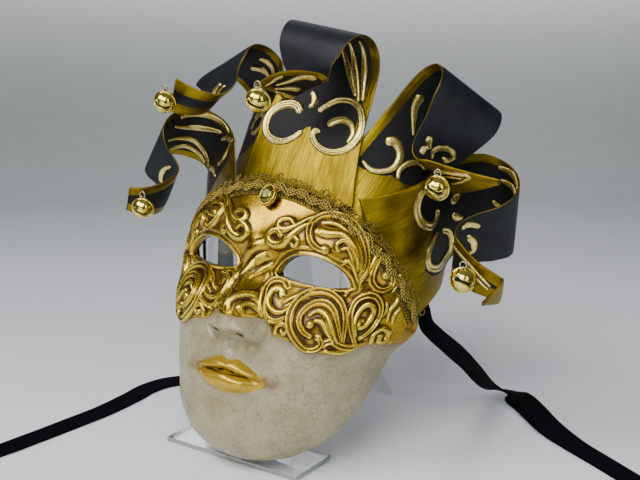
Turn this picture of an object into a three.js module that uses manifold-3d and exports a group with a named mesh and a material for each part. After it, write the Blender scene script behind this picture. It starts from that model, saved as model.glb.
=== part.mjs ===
// Venetian jester mask on a bent clear stand, in millimetres with +Z up.
// Left and right are the viewer's. The mask is drawn upright in its own frame, with its lowest
// point at the chin as the origin, X to the right, Y to the back and Z to the top, and is then
// leaned back onto the stand. The origin of the whole part is at the stand's front edge, a little to
// the left of its middle, on the surface that it stands on.
import * as THREE from 'three';
import { mergeVertices } from 'three/addons/utils/BufferGeometryUtils.js';
import Module from 'manifold-3d';

const wasm = await Module();
wasm.setup();

const DEG = Math.PI / 180;
const GAP = 0.35;
const LEAN = 17;
const CHIN_PLACE = [8, -8, 6.2];

// Face shell: each row is [middle height, middle depth, half width, side height, rim depth]
const WALL = 2.6;
const FACE_ROWS = [
  [6, 24, 58.5, 50, 39],
  [0, 10, 62, 54, 41],
  [7, -6, 63, 59, 43],
  [24, -12.5, 64, 64, 44.5],
  [44, -15.5, 66, 69, 45],
  [65, -14, 68.5, 74, 44],
  [86, -10.5, 72.5, 79, 43.5],
  [110, -5, 76, 84, 47],
  [126, -6, 78, 88, 49],
  [140, -3, 79, 91, 50],
  [152, 1, 79, 94, 50],
  [160, 4, 79, 96, 50],
];
const FACE_FLATNESS = 0.85;
const FACE_COLUMNS = 26;
const FACE_STEPS = 28;
const MIDDLE_COLUMNS = 0.42;
const MIDDLE_STEPS = 0.45;
const EYE = { x: 35, z: 110.2, half: 20.8, top: 13, bottom: 3.4, skew: 1.5, slant: -0.2 };

// Forms on the face: distance of the middle from the centre line, height of the middle, reach to the
// side and upward, and how far the form stands forward
const FORMS = [
  { x: 12.4, z: 77, wide: 5.4, tall: 6, forward: 9 },
  { x: 34, z: 130, wide: 26, tall: 9, forward: 4 },
  { x: 30, z: 111, wide: 24, tall: 14, forward: -5 },
  { x: 42, z: 84, wide: 22, tall: 17, forward: 4 },
  { x: 0, z: 45, wide: 16, tall: 5, forward: 5.5 },
  { x: 0, z: 51, wide: 22, tall: 2, forward: -2.5 },
  { x: 0, z: 18, wide: 19, tall: 13, forward: 5 },
];
const NOSE = { bridge: 120, tip: 82, base: 67, half: 6.5, flare: 4, low: 3, high: 18 };
const UPPER_LIP = { z: 57, wide: 19, tall: 4.2, arc: 0.012, forward: 4.5 };

// Scrolls in relief on the right half, mirrored on the left: centre as side angle and height,
// radius at start and end, angles from and to, height over width, thickness at start and end
const MM_PER_DEGREE = 1.2;
const SCROLLS = [
  { at: [36, 129], radius: [14, 18], turn: [205, -45], tall: 1, thick: [2.2, 1.2] },
  { at: [16, 96], radius: [9, 12], turn: [55, 330], tall: 1, thick: [1.3, 1.9] },
  { at: [37, 87], radius: [12, 18], turn: [300, -40], tall: 1, thick: [2.1, 1.2] },
  { at: [62, 93], radius: [11, 4], turn: [230, -150], tall: 1.25, thick: [1.5, 1.3] },
  { at: [8, 132], radius: [4.5, 9], turn: [100, 390], tall: 0.9, thick: [1.3, 1.6] },
  { at: [58, 119], radius: [5, 7], turn: [50, 390], tall: 1.3, thick: [1.4, 1.2] },
];

// Arch: the shell's upper edge, where the braid runs and the points start
const ARCH_ROW = FACE_ROWS[FACE_ROWS.length - 1];
const ARCH_END = 88;
const BRAID = { width: 10, thickness: 1.4, lift: 1.8, wave: 0.8, waves: 24 };

const GEM = { half: 4, tall: 5, dome: 3, rim: 1.4, base: 1.2, height: 150.5 };

const LEATHER = 1.6;
const LANES = 2;
const BEND_STEP = 24;
const LENGTH_STEP = 18;
// Points: arch angles of the base corners, tilt, swing, depth behind the edge, bow of the base,
// then parts of [length, bend, steer, twist, end width], angles in degrees
const POINTS = {
  point_centre: {
    arch: [-25, 34], tilt: -6, swing: -6, tuck: -5, bow: 7,
    parts: [[61, -12, 6, 0, 64], [27, 23, 4, 0, 60], [48, 173, 0, -5, 41], [18, 34, 20, -5, 26],
      [7, -138, 7, -18, 34], [38, 43, -10, -28, 2]],
  },
  point_upper_right: {
    arch: [18.5, 61.5], tilt: -25, swing: -10.5, tuck: -12, bow: 6,
    parts: [[70, -4, 5, -18, 47], [22, 20, -1, -8, 48], [43, 169, 7, -8, 44], [26, 35, 5, 9, 34],
      [20, -135, -7, 34, 31], [38, -26, 13, 14, 3]],
  },
  point_lower_right: {
    arch: [31, 89], tilt: -24, swing: 17, tuck: -3.5, bow: 9,
    parts: [[46, -55, -16, -25, 67], [36, 65, 14, 5, 60], [49, 159, 9, -2, 38], [17, 17, 12, -7, 29],
      [21, -106, -9, 23, 24], [35, -39, -1, 0, 15], [3, 100, 0, 0, 15], [17, 0, 0, 0, 2]],
  },
  point_upper_left: {
    arch: [-60.5, -17.5], tilt: -38, swing: 0, tuck: -10, bow: 6,
    parts: [[93, 6, 6, 7, 43], [10, 50, 3, -7, 43], [41, 121, 10, 3, 51], [14, 44, -11, -5, 32],
      [13, -93, 0, -25, 22], [25, -61, -20, -28, 23]],
  },
  point_lower_left: {
    arch: [-84, -31], tilt: -37, swing: -12, tuck: -5.5, bow: 9,
    parts: [[80, 0, -1, -14, 34], [28, 80, -12, 18, 42], [39, 97, 0, 16, 38], [16, 65, -8, 7, 28],
      [22, -98, 8, -18, 31], [28, -68, -3, -12, 17]],
  },
};

// Scrolls in relief on the points: distance along the point, share of the half width to the right,
// radius, angles from and to, thickness at start and end
const POINT_SCROLLS = {
  point_centre: [
    { at: [46, -0.42], radius: [8, 9], turn: [60, 300], thick: [1.4, 1.8] },
    { at: [44, 0.52], radius: [9, 11], turn: [150, -140], thick: [1.2, 1.7] },
    { at: [72, 0.1], radius: [7, 7], turn: [110, -20], thick: [1.2, 1.6] },
  ],
  point_upper_right: [
    { at: [44, 0.1], radius: [9, 10], turn: [-120, 70], thick: [1.7, 1.2] },
  ],
  point_lower_right: [
    { at: [52, -0.2], radius: [9, 10], turn: [60, 300], thick: [1.4, 1.8] },
  ],
  point_upper_left: [
    { at: [60, 0.2], radius: [8, 9], turn: [60, 300], thick: [1.3, 1.6] },
  ],
  point_lower_left: [
    { at: [52, 0.1], radius: [9, 10], turn: [60, 300], thick: [1.4, 1.7] },
  ],
};

// Bells, by the middle of the ball
const BELL_RADIUS = 7;
const BELL_RING = { radius: 2.4, wire: 0.7 };
const BELLS = {
  bell_centre: [6.5, -37.2, 202],
  bell_upper_right: [88, 29, 171.6],
  bell_lower_right: [111.6, 31.4, 124.6],
  bell_upper_left: [-95.8, 7.6, 196.7],
  bell_lower_left: [-112.6, 23, 130],
};

// Ribbons: flat bands from inside the shell's rims to the floor; each point is
// [x, y, z, then the direction of the band's width]
const RIBBON_WIDTH = 15;
const RIBBON_THICKNESS = 1.2;
const RIBBON_STATIONS = 24;
const RIBBONS = {
  ribbon_right: [
    [65, 74, 110, 0, 1, 0], [70, 82, 106, 0, 1, 0], [75, 87, 99, -0.35, 0.9, 0], [78, 90, 88, -0.75, 0.65, 0],
    [79, 91, 77, -0.9, 0.4, -0.1], [80.5, 94, 70, -1, 0.1, -0.3], [82, 103, 61, -1, 0, -0.35],
    [84, 117, 49, -1, 0, -0.3], [86, 134, 34, -1, 0, -0.2], [87, 151, 18.5, -1, 0, -0.15],
    [89, 164, 9, -0.95, 0.2, -0.2], [96, 171, 4.6, -0.5, 0.8, 0], [108, 165, 4.4, 0.2, 0.9, 0.35],
    [121, 154, 4.6, 0.5, 0.8, 0.4], [138, 141, 3.4, 0.55, 0.8, 0.25], [159, 130, 1.8, 0.5, 0.85, 0.05],
    [184, 118, 1.2, 0.45, 0.9, 0], [212, 103, 1.2, 0.5, 0.85, 0], [244, 84, 1.2, 0.5, 0.85, 0],
  ],
  ribbon_left: [
    [-60, 77, 122, 0, 1, 0.2], [-62, 82, 112, 0, 1, 0], [-64, 84, 94, 0, 1, 0], [-66, 86, 70, 0, 1, 0],
    [-69, 87, 46, 0, 1, 0], [-75, 88, 24, 0, 1, 0], [-85, 86, 8, -0.1, 1, 0],
    [-96, 78, 1.8, -0.6, 0.8, 0], [-104, 66, 1.3, -0.9, 0.4, 0], [-107, 52, 1.2, -1, 0.1, 0],
    [-106, 36, 1.2, -1, 0, 0], [-106, 10, 1.2, -1, 0, 0], [-109, -16, 1.2, -1, 0.1, 0],
    [-113, -46, 1.2, -1, 0.1, 0], [-118, -74, 1.2, -1, 0.3, 0], [-130, -104, 1.2, -1, 0.4, 0],
  ],
};

// Stand: one sheet bent into a lip, a front plate and a narrower rear leg; corners of its side line
const SHEET = 3;
const STAND_HALF = 47.5;
const STAND_SIDE = 2.5;
const LEG_HALF = 28;
const STAND_LINE = [[0, 1.5], [35.5, 1.5], [46, 139], [134, -3.35]];
const BEND = 5;
const BEND_STEPS = 4;
const LEG_START = 50;
const TAPER_START = 112;
const TAPER_END = 150;

function material(color, roughness, metalness) {
  return new THREE.MeshStandardMaterial({ color, roughness, metalness });
}

function piece(name, geometry, look) {
  const mesh = new THREE.Mesh(geometry, look);
  mesh.name = name;
  return mesh;
}

function closedGeometry(points, triangles) {
  const geometry = new THREE.BufferGeometry();
  geometry.setAttribute('position', new THREE.Float32BufferAttribute(points.flat(), 3));
  geometry.setIndex(triangles.flat());
  return geometry;
}

function toSolid(geometry) {
  const bare = geometry.clone();
  bare.deleteAttribute('normal');
  bare.deleteAttribute('uv');
  const merged = mergeVertices(bare, 1e-4);
  return new wasm.Manifold(new wasm.Mesh({
    numProp: 3,
    vertProperties: new Float32Array(merged.attributes.position.array),
    triVerts: new Uint32Array(merged.index.array),
  }));
}

function fromSolid(solid) {
  const mesh = solid.getMesh();
  const geometry = new THREE.BufferGeometry();
  geometry.setAttribute('position', new THREE.BufferAttribute(mesh.vertProperties, 3));
  geometry.setIndex(new THREE.BufferAttribute(mesh.triVerts, 1));
  return geometry;
}

// Smooth value of a table column at t from 0 to 1
function smoothColumn(rows, column, t) {
  const s = Math.min(Math.max(t, 0), 1) * (rows.length - 1);
  const i = Math.min(Math.floor(s), rows.length - 2);
  const f = s - i;
  const at = (k) => rows[Math.min(Math.max(k, 0), rows.length - 1)][column];
  const [a, b, c, d] = [at(i - 1), at(i), at(i + 1), at(i + 2)];
  return b + 0.5 * f * (c - a + f * (2 * a - 5 * b + 4 * c - d + f * (3 * (b - c) + d - a)));
}

const bump = (distance) => Math.exp(-distance * distance);

// Smooth step from 0 at one value to 1 at the other
function ramp(from, to, value) {
  const f = Math.min(Math.max((value - from) / (to - from), 0), 1);
  return f * f * (3 - 2 * f);
}

// How far the nose, brows, lips and chin stand forward at a place on the face
function featureHeight(x, z) {
  const side = Math.abs(x);
  const noseHalf = NOSE.half + NOSE.flare * ramp(106, 80, z);
  const ridgeLine = NOSE.low + (NOSE.high - NOSE.low) * ramp(NOSE.bridge, NOSE.tip, z);
  const ends = ramp(NOSE.base, NOSE.base + 12, z) * ramp(NOSE.bridge + 10, NOSE.bridge - 4, z);
  const lipLine = z - UPPER_LIP.z + UPPER_LIP.arc * x * x;
  let height = ridgeLine * ends * bump(x / noseHalf);
  height += UPPER_LIP.forward * bump(lipLine / UPPER_LIP.tall) * bump(x / UPPER_LIP.wide);
  for (const form of FORMS) {
    height += form.forward * bump((side - form.x) / form.wide) * bump((z - form.z) / form.tall);
  }
  return height;
}

// Point on the bare face at side angle a in degrees and height share t
function bareFacePoint(a, t) {
  const [z, y, half, side, rim] = [0, 1, 2, 3, 4].map((column) => smoothColumn(FACE_ROWS, column, t));
  const c = Math.max(Math.cos(a * DEG), 0);
  return new THREE.Vector3(
    half * Math.sin(a * DEG),
    rim - (rim - y) * c ** FACE_FLATNESS,
    z + (side - z) * (1 - c),
  );
}

function facePoint(a, t) {
  const p = bareFacePoint(a, t);
  const fade = ramp(90, 70, Math.abs(a));
  p.y -= featureHeight(p.x, p.z) * fade;
  return p;
}

function surfaceNormal(pointAt, a, t) {
  const da = 1.5;
  const dt = 0.012;
  const along = pointAt(Math.min(a + da, 89.9), t).sub(pointAt(Math.max(a - da, -89.9), t));
  const up = pointAt(a, Math.min(t + dt, 1)).sub(pointAt(a, Math.max(t - dt, 0)));
  return along.cross(up).normalize();
}

function faceShell() {
  const points = [];
  for (const inner of [false, true]) {
    for (let j = 0; j <= FACE_STEPS; j += 1) {
      for (let i = 0; i <= FACE_COLUMNS; i += 1) {
        const across = 2 * i / FACE_COLUMNS - 1;
        const a = 90 * (MIDDLE_COLUMNS * across + (1 - MIDDLE_COLUMNS) * across ** 3);
        const up = j / FACE_STEPS;
        const t = up + MIDDLE_STEPS * Math.sin(2 * Math.PI * up) / (2 * Math.PI);
        const p = facePoint(a, t);
        if (inner) p.addScaledVector(surfaceNormal(facePoint, a, t), -WALL);
        points.push(p.toArray());
      }
    }
  }
  const columns = FACE_COLUMNS + 1;
  const innerStart = columns * (FACE_STEPS + 1);
  const triangles = [];
  for (let j = 0; j < FACE_STEPS; j += 1) {
    for (let i = 0; i < FACE_COLUMNS; i += 1) {
      const k = j * columns + i;
      triangles.push([k, k + 1, k + columns + 1], [k, k + columns + 1, k + columns]);
      const m = k + innerStart;
      triangles.push([m, m + columns + 1, m + 1], [m, m + columns, m + columns + 1]);
    }
  }
  const rim = [];
  for (let i = 0; i < FACE_COLUMNS; i += 1) rim.push(i);
  for (let j = 0; j < FACE_STEPS; j += 1) rim.push(j * columns + FACE_COLUMNS);
  for (let i = FACE_COLUMNS; i > 0; i -= 1) rim.push(FACE_STEPS * columns + i);
  for (let j = FACE_STEPS; j > 0; j -= 1) rim.push(j * columns);
  rim.forEach((k, index) => {
    const n = rim[(index + 1) % rim.length];
    triangles.push([k, k + innerStart, n + innerStart], [k, n + innerStart, n]);
  });
  return closedGeometry(points, triangles);
}

// Almond outline of the right eye opening
function eyeOutline() {
  const outline = [];
  const steps = 20;
  for (let k = 0; k < steps; k += 1) {
    const q = 2 * Math.PI * k / steps;
    const x = Math.cos(q);
    const tall = Math.sin(q) > 0 ? EYE.top : EYE.bottom;
    const lift = Math.abs(Math.sin(q)) ** 1.25;
    outline.push(new THREE.Vector2(
      EYE.x + EYE.half * x - EYE.skew * Math.sin(q) * (1 - x * x),
      EYE.z - EYE.slant * x + tall * lift * Math.sign(Math.sin(q)),
    ));
  }
  return outline;
}

function eyeCutter(side) {
  const outline = eyeOutline().map((p) => new THREE.Vector2(side * p.x, p.y));
  const cutter = new THREE.ExtrudeGeometry(new THREE.Shape(outline), { depth: 80, bevelEnabled: false });
  cutter.rotateX(Math.PI / 2);
  cutter.translate(0, 50, 0);
  return cutter;
}

// Height share at which the face reaches height z at side angle a
function shareAtHeight(a, z) {
  let [low, high] = [0.1, 1];
  for (let k = 0; k < 24; k += 1) {
    const middle = (low + high) / 2;
    if (bareFacePoint(a, middle).z < z) low = middle;
    else high = middle;
  }
  return (low + high) / 2;
}

// Closed ridge with a sharp crest through stations of { point, normal, thick }
function ridge(stations, depth) {
  const points = [];
  const triangles = [];
  stations.forEach((s, k) => {
    const before = stations[Math.max(k - 1, 0)].point;
    const after = stations[Math.min(k + 1, stations.length - 1)].point;
    const run = after.clone().sub(before).normalize();
    const side = run.clone().cross(s.normal).normalize();
    const corners = [[1, 0], [0, 0.9], [-1, 0], [0, -depth / s.thick]];
    for (const [across, up] of corners) {
      points.push(s.point.clone()
        .addScaledVector(side, across * s.thick)
        .addScaledVector(s.normal, up * s.thick)
        .toArray());
    }
  });
  const sides = 4;
  for (let j = 0; j < stations.length - 1; j += 1) {
    for (let k = 0; k < sides; k += 1) {
      const a = j * sides + k;
      const b = j * sides + (k + 1) % sides;
      triangles.push([a, b + sides, b], [a, a + sides, b + sides]);
    }
  }
  const last = (stations.length - 1) * sides;
  triangles.push([0, 1, 2], [0, 2, 3], [last, last + 2, last + 1], [last, last + 3, last + 2]);
  return closedGeometry(points, triangles);
}

// Stations of a scroll; place(dx, dy) gives the point and normal at a distance from its centre
function scrollStations(scroll, place) {
  const [from, to] = scroll.turn;
  const steps = Math.ceil(Math.abs(to - from) / 40);
  const stations = [];
  for (let k = 0; k <= steps; k += 1) {
    const f = k / steps;
    const angle = (from + (to - from) * f) * DEG;
    const radius = scroll.radius[0] + (scroll.radius[1] - scroll.radius[0]) * f;
    const thick = scroll.thick[0] + (scroll.thick[1] - scroll.thick[0]) * f;
    const spot = place(radius * Math.cos(angle), radius * Math.sin(angle) * (scroll.tall ?? 1));
    stations.push({ ...spot, thick });
  }
  return stations;
}

function face() {
  let solid = toSolid(faceShell());
  for (const side of [-1, 1]) {
    solid = solid.subtract(toSolid(eyeCutter(side)));
    for (const scroll of SCROLLS) {
      const stations = scrollStations(scroll, (dx, dz) => {
        const a = side * (scroll.at[0] + dx / MM_PER_DEGREE);
        const t = shareAtHeight(a, scroll.at[1] + dz);
        return { point: facePoint(a, t), normal: surfaceNormal(facePoint, a, t) };
      });
      solid = solid.add(toSolid(ridge(stations, 0.8)));
    }
  }
  return piece('face', fromSolid(solid), material(0xcdb98a, 0.5, 0.3));
}

function archPoint(angle) {
  const [top, y, half, side, rim] = ARCH_ROW;
  const c = Math.max(Math.cos(angle * DEG), 0);
  return new THREE.Vector3(
    half * Math.sin(angle * DEG),
    rim - (rim - y) * c ** FACE_FLATNESS,
    side + (top - side) * Math.cos(angle * DEG),
  );
}

// Closed band through stations of { centre, across, normal, width, bow }
function band(stations, thickness, lanes) {
  const points = [];
  const triangles = [];
  const ring = 2 * (lanes + 1);
  for (const s of stations) {
    for (const outward of [1, -1]) {
      for (let k = 0; k <= lanes; k += 1) {
        const u = outward * (1 - 2 * k / lanes);
        points.push(s.centre.clone()
          .addScaledVector(s.across, u * s.width / 2)
          .addScaledVector(s.normal, s.bow * (1 - u * u) + outward * thickness / 2)
          .toArray());
      }
    }
  }
  for (let j = 0; j < stations.length - 1; j += 1) {
    for (let k = 0; k < ring; k += 1) {
      const a = j * ring + k;
      const b = j * ring + (k + 1) % ring;
      triangles.push([a, b + ring, b], [a, a + ring, b + ring]);
    }
  }
  const last = (stations.length - 1) * ring;
  for (let k = 0; k < lanes; k += 1) {
    const [a, b, c, d] = [k, k + 1, ring - 2 - k, ring - 1 - k];
    triangles.push([a, b, c], [a, c, d]);
    triangles.push([last + a, last + c, last + b], [last + a, last + d, last + c]);
  }
  return closedGeometry(points, triangles);
}

function turn(first, second, angle) {
  const [c, s] = [Math.cos(angle), Math.sin(angle)];
  const a = first.clone().multiplyScalar(c).addScaledVector(second, s);
  const b = second.clone().multiplyScalar(c).addScaledVector(first, -s);
  return [a, b];
}

function pointStations(shape) {
  const [from, to] = shape.arch.map(archPoint);
  let across = to.clone().sub(from);
  let width = across.length();
  across.normalize();
  const middle = from.clone().add(to).multiplyScalar(0.5);
  const out = new THREE.Vector3(middle.x, 0, middle.z - ARCH_ROW[3] + 11);
  let heading = out.addScaledVector(across, -out.dot(across)).normalize();
  let normal = across.clone().cross(heading);
  [heading, normal] = turn(heading, normal, shape.tilt * DEG);
  [heading, across] = turn(heading, across, shape.swing * DEG);
  const centre = middle.addScaledVector(normal, shape.tuck);
  let bow = shape.bow;
  const stations = [{ centre: centre.clone(), across, normal, width, bow, along: 0 }];
  let along = 0;
  for (const [length, bend, steer, twist, endWidth] of shape.parts) {
    const steps = Math.max(1, Math.ceil(Math.max(Math.abs(bend) / BEND_STEP, length / LENGTH_STEP)));
    const startWidth = width;
    const startBow = bow;
    for (let k = 1; k <= steps; k += 1) {
      const before = heading.clone();
      [heading, normal] = turn(heading, normal, bend * DEG / steps);
      [heading, across] = turn(heading, across, steer * DEG / steps);
      [across, normal] = turn(across, normal, twist * DEG / steps);
      centre.addScaledVector(before.add(heading), length / steps / 2);
      width = startWidth + (endWidth - startWidth) * k / steps;
      bow = startBow * (1 - k / steps);
      along += length / steps;
      stations.push({ centre: centre.clone(), across, normal, width, bow, along });
    }
  }
  return stations;
}

// Place on the front of a point at a distance along it and a share of its half width
function pointPlace(stations, along, share) {
  let k = 0;
  while (k < stations.length - 2 && stations[k + 1].along < along) k += 1;
  const [a, b] = [stations[k], stations[k + 1]];
  const f = (along - a.along) / (b.along - a.along);
  const mix = (name) => a[name] + (b[name] - a[name]) * f;
  const normal = a.normal.clone().lerp(b.normal, f).normalize();
  const point = a.centre.clone().lerp(b.centre, f)
    .addScaledVector(a.across.clone().lerp(b.across, f), share * mix('width') / 2)
    .addScaledVector(normal, mix('bow') * (1 - share * share) + LEATHER / 2);
  return { point, normal, halfWidth: mix('width') / 2 };
}

function leatherPoint(name) {
  const stations = pointStations(POINTS[name]);
  let solid = toSolid(band(stations, LEATHER, LANES));
  for (const scroll of POINT_SCROLLS[name]) {
    const { halfWidth } = pointPlace(stations, ...scroll.at);
    const path = scrollStations(scroll, (dx, dy) => (
      pointPlace(stations, scroll.at[0] + dy, scroll.at[1] + dx / halfWidth)
    ));
    solid = solid.add(toSolid(ridge(path, 0.5)));
  }
  return piece(name, fromSolid(solid), material(0xc9a227, 0.4, 0.9));
}

// Braid along the arch, with a wavy outer edge
function braidTrim() {
  const stations = [];
  const steps = 40;
  for (let k = 0; k <= steps; k += 1) {
    const angle = ARCH_END * (2 * k / steps - 1);
    const run = archPoint(angle + 1).sub(archPoint(angle - 1)).normalize();
    const facing = surfaceNormal(bareFacePoint, angle, 0.97);
    const inward = run.clone().cross(facing).normalize();
    const wave = BRAID.wave * Math.cos(2 * Math.PI * BRAID.waves * k / steps);
    const outer = archPoint(angle).addScaledVector(inward, -1 - wave);
    const inner = archPoint(angle).addScaledVector(inward, BRAID.width - 1);
    inner.y -= featureHeight(inner.x, inner.z);
    const across = inner.clone().sub(outer);
    const width = across.length();
    across.normalize();
    const normal = across.clone().cross(run).normalize();
    const centre = outer.add(inner).multiplyScalar(0.5)
      .addScaledVector(normal, BRAID.thickness / 2 + BRAID.lift);
    stations.push({ centre, across, normal, width, bow: 0 });
  }
  return piece('braid_trim', band(stations, BRAID.thickness, 1), material(0x8f7a34, 0.6, 0.6));
}

// Oval cup and the domed glass in it, both facing forward on the braid's middle
function gemPieces() {
  const half = GEM.half + GEM.rim;
  const cup = new THREE.LatheGeometry([
    [0, 0], [half, 0], [half, 2.6], [GEM.half + GAP, 2.6], [GEM.half + GAP, GEM.base], [0, GEM.base],
  ].map(([x, y]) => new THREE.Vector2(x, y)), 16);
  const dome = [[0, GEM.base + GAP], [GEM.half, GEM.base + GAP]];
  for (let k = 0; k <= 4; k += 1) {
    const angle = k * 90 / 4 * DEG;
    dome.push([GEM.half * Math.cos(angle), GEM.base + GAP + 0.8 + GEM.dome * Math.sin(angle)]);
  }
  dome[dome.length - 1][0] = 0;
  const glass = new THREE.LatheGeometry(dome.map(([x, y]) => new THREE.Vector2(x, y)), 16);
  const share = shareAtHeight(0, GEM.height);
  const normal = surfaceNormal(bareFacePoint, 0, share);
  const seat = bareFacePoint(0, share).addScaledVector(normal, GAP + BRAID.lift + BRAID.thickness);
  return [['gem_setting', cup, 0xb9942f, 0.35, 0.9], ['gem', glass, 0x6b7a1c, 0.1, 0]].map(
    ([name, lathe, color, roughness, metalness]) => {
      const bare = fromSolid(toSolid(lathe));
      bare.scale(1, 1, GEM.tall / GEM.half);
      const mesh = piece(name, bare, material(color, roughness, metalness));
      mesh.quaternion.setFromUnitVectors(new THREE.Vector3(0, 1, 0), normal);
      mesh.position.copy(seat);
      return mesh;
    },
  );
}

function bell(name, centre) {
  const ball = new THREE.SphereGeometry(BELL_RADIUS, 10, 6);
  const ring = new THREE.TorusGeometry(BELL_RING.radius, BELL_RING.wire, 4, 6);
  ball.rotateX(Math.PI / 2);
  ring.rotateX(Math.PI / 2);
  ring.translate(0, 0, BELL_RADIUS + BELL_RING.radius - 0.6);
  const mesh = piece(name, fromSolid(toSolid(ball).add(toSolid(ring))), material(0xd9b840, 0.2, 1));
  mesh.position.set(...centre);
  mesh.rotation.x = LEAN * DEG;
  return mesh;
}

// Band along a smooth curve through hand-set points
function ribbon(name) {
  const rows = RIBBONS[name];
  const curve = new THREE.CatmullRomCurve3(rows.map(([x, y, z]) => new THREE.Vector3(x, y, z)));
  const stations = [];
  for (let k = 0; k <= RIBBON_STATIONS; k += 1) {
    const u = curve.getUtoTmapping(k / RIBBON_STATIONS);
    const run = curve.getTangent(u);
    const across = new THREE.Vector3(...[3, 4, 5].map((column) => smoothColumn(rows, column, u)));
    across.addScaledVector(run, -across.dot(run)).normalize();
    const normal = across.clone().cross(run);
    stations.push({ centre: curve.getPoint(u), across, normal, width: RIBBON_WIDTH, bow: 0 });
  }
  return piece(name, band(stations, RIBBON_THICKNESS, 3), material(0x0b0b0c, 0.6, 0));
}

// Outline of the bent sheet's side, half a thickness to each side of its middle line
function sheetOutline(corners) {
  const line = roundedLine(corners);
  const [outer, inner] = [[], []];
  line.forEach((p, k) => {
    const before = line[Math.max(k - 1, 0)];
    const after = line[Math.min(k + 1, line.length - 1)];
    const run = after.clone().sub(before).normalize();
    const side = new THREE.Vector2(-run.y, run.x);
    outer.push(p.clone().addScaledVector(side, SHEET / 2));
    inner.unshift(p.clone().addScaledVector(side, -SHEET / 2));
  });
  return [...outer, ...inner];
}

// Line through the corners with each inner corner rounded by a short arc
function roundedLine(corners) {
  const points = corners.map(([y, z]) => new THREE.Vector2(y, z));
  const line = [points[0]];
  for (let k = 1; k < points.length - 1; k += 1) {
    const start = points[k].clone().sub(points[k - 1]).setLength(-BEND).add(points[k]);
    const end = points[k + 1].clone().sub(points[k]).setLength(BEND).add(points[k]);
    const arc = new THREE.QuadraticBezierCurve(start, points[k], end);
    line.push(...arc.getPoints(BEND_STEPS));
  }
  line.push(points[points.length - 1]);
  return line;
}

function stand() {
  const sheet = new THREE.ExtrudeGeometry(
    new THREE.Shape(sheetOutline(STAND_LINE)),
    { depth: 2 * STAND_HALF, bevelEnabled: false },
  );
  sheet.applyMatrix4(new THREE.Matrix4().set(0, 0, 1, -STAND_HALF, 1, 0, 0, 0, 0, 1, 0, 0, 0, 0, 0, 1));
  const below = new THREE.BoxGeometry(200, 400, 40);
  below.translate(0, 0, -20);
  let solid = toSolid(sheet).subtract(toSolid(below));
  for (const side of [-1, 1]) {
    const leg = new THREE.BoxGeometry(STAND_HALF, 200, 400);
    leg.translate(side * (LEG_HALF + STAND_HALF / 2), 100 + LEG_START, 0);
    const slope = new THREE.ExtrudeGeometry(
      new THREE.Shape([
        new THREE.Vector2(side * (STAND_HALF + 1), TAPER_START),
        new THREE.Vector2(side * LEG_HALF, TAPER_END),
        new THREE.Vector2(side * (STAND_HALF + 1), TAPER_END),
      ]),
      { depth: 200, bevelEnabled: false },
    );
    slope.rotateX(Math.PI / 2);
    slope.translate(0, 100, 0);
    solid = solid.subtract(toSolid(leg)).subtract(toSolid(slope));
  }
  const mesh = piece('stand', fromSolid(solid), material(0xe8eef2, 0.05, 0));
  mesh.position.x = STAND_SIDE;
  return mesh;
}

const mask = new THREE.Group();
mask.rotation.x = -LEAN * DEG;
mask.position.set(...CHIN_PLACE);
mask.add(face());
for (const name of Object.keys(POINTS)) mask.add(leatherPoint(name));
mask.add(braidTrim());
mask.add(...gemPieces());
for (const [name, centre] of Object.entries(BELLS)) mask.add(bell(name, centre));

const part = new THREE.Group();
part.add(mask);
part.add(stand());
part.add(ribbon('ribbon_right'), ribbon('ribbon_left'));
part.updateMatrixWorld(true);

export default part;
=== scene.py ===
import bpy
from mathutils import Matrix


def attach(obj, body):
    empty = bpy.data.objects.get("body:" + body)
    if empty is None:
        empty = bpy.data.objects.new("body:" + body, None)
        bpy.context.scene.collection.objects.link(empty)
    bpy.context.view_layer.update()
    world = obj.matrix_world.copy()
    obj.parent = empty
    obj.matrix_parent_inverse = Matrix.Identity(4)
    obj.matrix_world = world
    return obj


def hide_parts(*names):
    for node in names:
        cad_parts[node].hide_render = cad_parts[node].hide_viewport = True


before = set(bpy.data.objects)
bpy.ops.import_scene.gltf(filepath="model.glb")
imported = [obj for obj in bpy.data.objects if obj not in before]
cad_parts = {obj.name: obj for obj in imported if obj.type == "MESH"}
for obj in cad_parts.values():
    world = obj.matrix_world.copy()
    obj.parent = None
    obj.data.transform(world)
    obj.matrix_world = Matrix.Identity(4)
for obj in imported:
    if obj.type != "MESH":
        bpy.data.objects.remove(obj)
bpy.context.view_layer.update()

import math

import bpy
import numpy as np
from mathutils import Vector

# Shape of the mask, in millimetres, with the values of its solids but a slightly finer nose and mouth.
# The mask is drawn upright in its own frame, with the chin at the origin, and is then leaned back onto
# the stand.
MM = 0.001
LEAN = math.radians(17)
CHIN_PLACE = np.array([8.0, -8.0, 6.2])
WALL = 2.6
# Rows from the chin up: height and depth at the middle, half width, height and depth at the side
FACE_ROWS = np.array([
    [6, 24, 58.5, 50, 39],
    [0, 10, 62, 54, 41],
    [7, -6, 63, 59, 43],
    [24, -12.5, 64, 64, 44.5],
    [44, -15.5, 66, 69, 45],
    [65, -14, 68.5, 74, 44],
    [86, -10.5, 72.5, 79, 43.5],
    [110, -5, 76, 84, 47],
    [126, -6, 78, 88, 49],
    [140, -3, 79, 91, 50],
    [152, 1, 79, 94, 50],
    [160, 4, 79, 96, 50],
], float)
FLATNESS = 0.85
EYE = {"x": 35, "z": 110.2, "half": 20.8, "top": 13, "bottom": 3.4, "skew": 1.5, "slant": -0.2}
FORMS = [
    # Nose wings, brows, eye sockets, cheeks and chin: side, height, reach to the side, reach upward,
    # forward
    (11.8, 76.6, 4.8, 5.6, 8.6),
    (34, 130, 26, 9, 4),
    (30, 111, 24, 14, -5),
    (42, 84, 22, 17, 4),
    (0, 18, 19, 13, 5),
]
NOSE = {"bridge": 120, "tip": 80, "base": 66.5, "half": 6.5, "flare": 4, "low": 3, "high": 16.5}


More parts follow.
